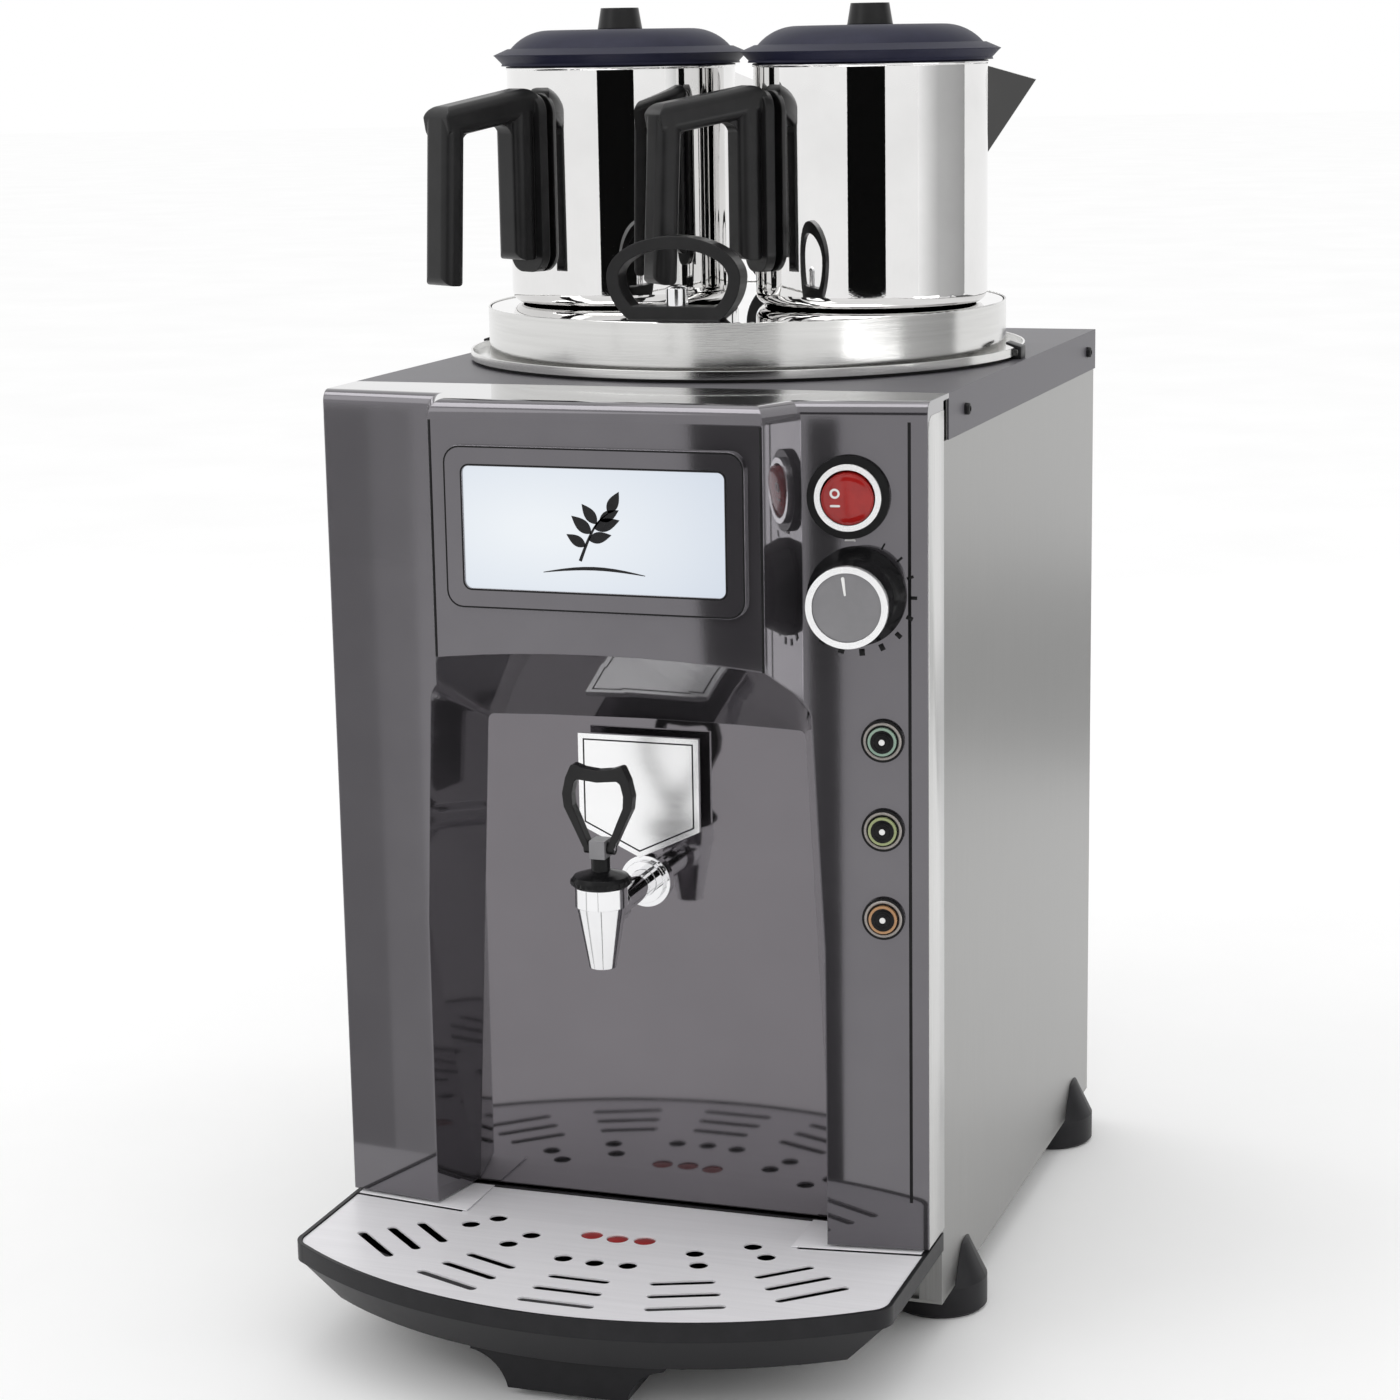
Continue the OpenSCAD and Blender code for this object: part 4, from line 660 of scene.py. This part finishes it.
def fading_paint():
    """White at one end of a board, grey at the other."""
    mat, tree, shader = new_material("fading_board")
    place = add_node(tree, "ShaderNodeTexCoord")
    slide = add_node(tree, "ShaderNodeTexGradient")
    tree.links.new(place.outputs["Generated"], slide.inputs["Vector"])
    stops = [(0.0, (1, 1, 1)), (0.4, (0.5, 0.5, 0.5)), (1.0, (0.36, 0.36, 0.36))]
    tree.links.new(ramp(tree, slide.outputs["Fac"], stops), shader.inputs["Base Color"])
    shader.inputs["Roughness"].default_value = 0.9
    shader.inputs["Specular IOR Level"].default_value = 0.0
    return mat


def stage_object(name, data):
    obj = bpy.data.objects.new(name, data)
    scene.collection.objects.link(obj)
    return obj


def stage_mesh(name, points, faces, mat):
    mesh = bpy.data.meshes.new(name)
    mesh.from_pydata(points, [], faces)
    mesh.materials.append(mat)
    return stage_object(name, mesh)


def stage_plane(name, size, place, turn, mat):
    x = size[0] / 2
    y = size[1] / 2
    obj = stage_mesh(name, [(-x, -y, 0), (x, -y, 0), (x, y, 0), (-x, y, 0)], [(0, 1, 2, 3)], mat)
    obj.location = place
    obj.rotation_euler = [math.radians(angle) for angle in turn]
    return obj


def reflected_only(obj):
    obj.visible_camera = False
    obj.visible_diffuse = False


def thrown(point, normal):
    """Where the camera's look at a mirror lands: on the floor or on a wall behind the camera."""
    look = (point - EYE).normalized()
    away = look - 2 * look.dot(normal) * normal
    reach = (WALL_Y - point.y) / away.y
    if away.z < 0:
        reach = min(reach, (BOARD_Z - point.z) / away.z)
    return point + reach * away


def band_board(name, corner, along, rows, mat):
    """Board that a flat face shows as a band; rows of (height, left x, right x) on that face."""
    normal = along.cross(UP)
    points = []
    for z, *ends in rows:
        for x in ends:
            spot = corner + along * ((x - corner.x) / along.x)
            points.append(thrown(Vector((spot.x, spot.y, z)), normal))
    quads = [(2 * i, 2 * i + 1, 2 * i + 3, 2 * i + 2) for i in range(len(rows) - 1)]
    reflected_only(stage_mesh(name, points, quads, mat))


def soft_lamp(name, place, aim, size, power):
    light = bpy.data.lights.new(name, "AREA")
    light.shape = "RECTANGLE"
    light.size, light.size_y = size
    light.energy = power
    obj = stage_object(name, light)
    obj.location = place
    obj.rotation_euler = (Vector(aim) - Vector(place)).to_track_quat("-Z", "Y").to_euler()


stage_plane("floor", (FLOOR_SIZE, FLOOR_SIZE), (0, 0, FLOOR_Z), (0, 0, 0), matt("floor_paint", 0.97, 1))

BOARD_LEVELS = {"black_board": 0.004, "dark_board": 0.09, "dim_board": 0.46, "grey_board": 0.68}
board_paint = {name: matt(name, level * DARK_SHARE, level) for name, level in BOARD_LEVELS.items()}

COLUMN_ZS = [0.097 + 0.0448 * i for i in range(11)]
COLUMN_BAND = (0.1145, 0.1315)
LEFT_OUTER_BAND = (-0.2, -0.15)
LEFT_INNER_BAND = (-0.15, -0.122)
PANEL_ZS = (0.405, 0.43, 0.46, 0.49, 0.52, 0.55)
PANEL_BAND = (0.0625, 0.104)
PANEL_BAND_Z = 0.42
PANEL_BAND_LEAN = 0.05
left_corner = Vector((-CORNER.x, CORNER.y, 0))
left_along = Vector((ALONG.x, -ALONG.y, 0))
panel_corner = Vector((0, fascia_low.y, 0))
column_rows = [(z, *COLUMN_BAND) for z in COLUMN_ZS]
panel_rows = [(z, PANEL_BAND[0] - PANEL_BAND_LEAN * (z - PANEL_BAND_Z), PANEL_BAND[1]) for z in PANEL_ZS]
left_outer_rows = [(z, *LEFT_OUTER_BAND) for z in COLUMN_ZS]
left_inner_rows = [(z, *LEFT_INNER_BAND) for z in COLUMN_ZS]
band_board("column_board", CORNER, ALONG, column_rows, board_paint["black_board"])
band_board("panel_board", panel_corner, RIGHT, panel_rows, board_paint["black_board"])
band_board("left_outer_board", left_corner, left_along, left_outer_rows, board_paint["dim_board"])
band_board("left_inner_board", left_corner, left_along, left_inner_rows, board_paint["grey_board"])
for name, size, place, turn, mat in (
        ("pot_board", (1.9, 0.93), (0.65, -2.74, 0.83), (90, 0, 13), board_paint["black_board"]),
        ("beak_board", (1.0, 1.0), (1.75, 1.15, BOARD_Z), (0, 0, 0), board_paint["dark_board"]),
        ("floor_board", (0.9, 1.2), (0.8, 1.95, BOARD_Z), (0, 0, 0), board_paint["dim_board"]),
        ("side_board", (2.0, 1.3), (1.9, 0.1, 0.75), (90, 0, 90), fading_paint())):
    reflected_only(stage_plane(name, size, place, turn, mat))

soft_lamp("key", place=(-1.6, -1.9, 2.0), aim=(0, 0, 0.4), size=(1.2, 1.8), power=6)
soft_lamp("top", place=(0, 0.2, 2.4), aim=(0, 0, 0.5), size=(1.4, 1.4), power=4)

glow, _, glow_shader = new_material("softbox_glow")
glow_shader.inputs["Emission Color"].default_value = (1, 1, 1, 1)
glow_shader.inputs["Emission Strength"].default_value = 3.0
for name, size, place, turn in (
        ("softbox", (2.2, 0.9), (-0.62, -0.4, 2.2), (0, 0, 0)),
        ("side_softbox", (1.0, 0.34), (1.85, -0.55, 0.19), (90, 0, 90))):
    reflected_only(stage_plane(name, size, place, turn, glow))

world = bpy.data.worlds.new("studio")
scene.world = world
world.use_nodes = True
background = world.node_tree.nodes["Background"]
background.inputs["Color"].default_value = (1, 1, 1, 1)
background.inputs["Strength"].default_value = 1.0

scene.view_settings.view_transform = "Standard"
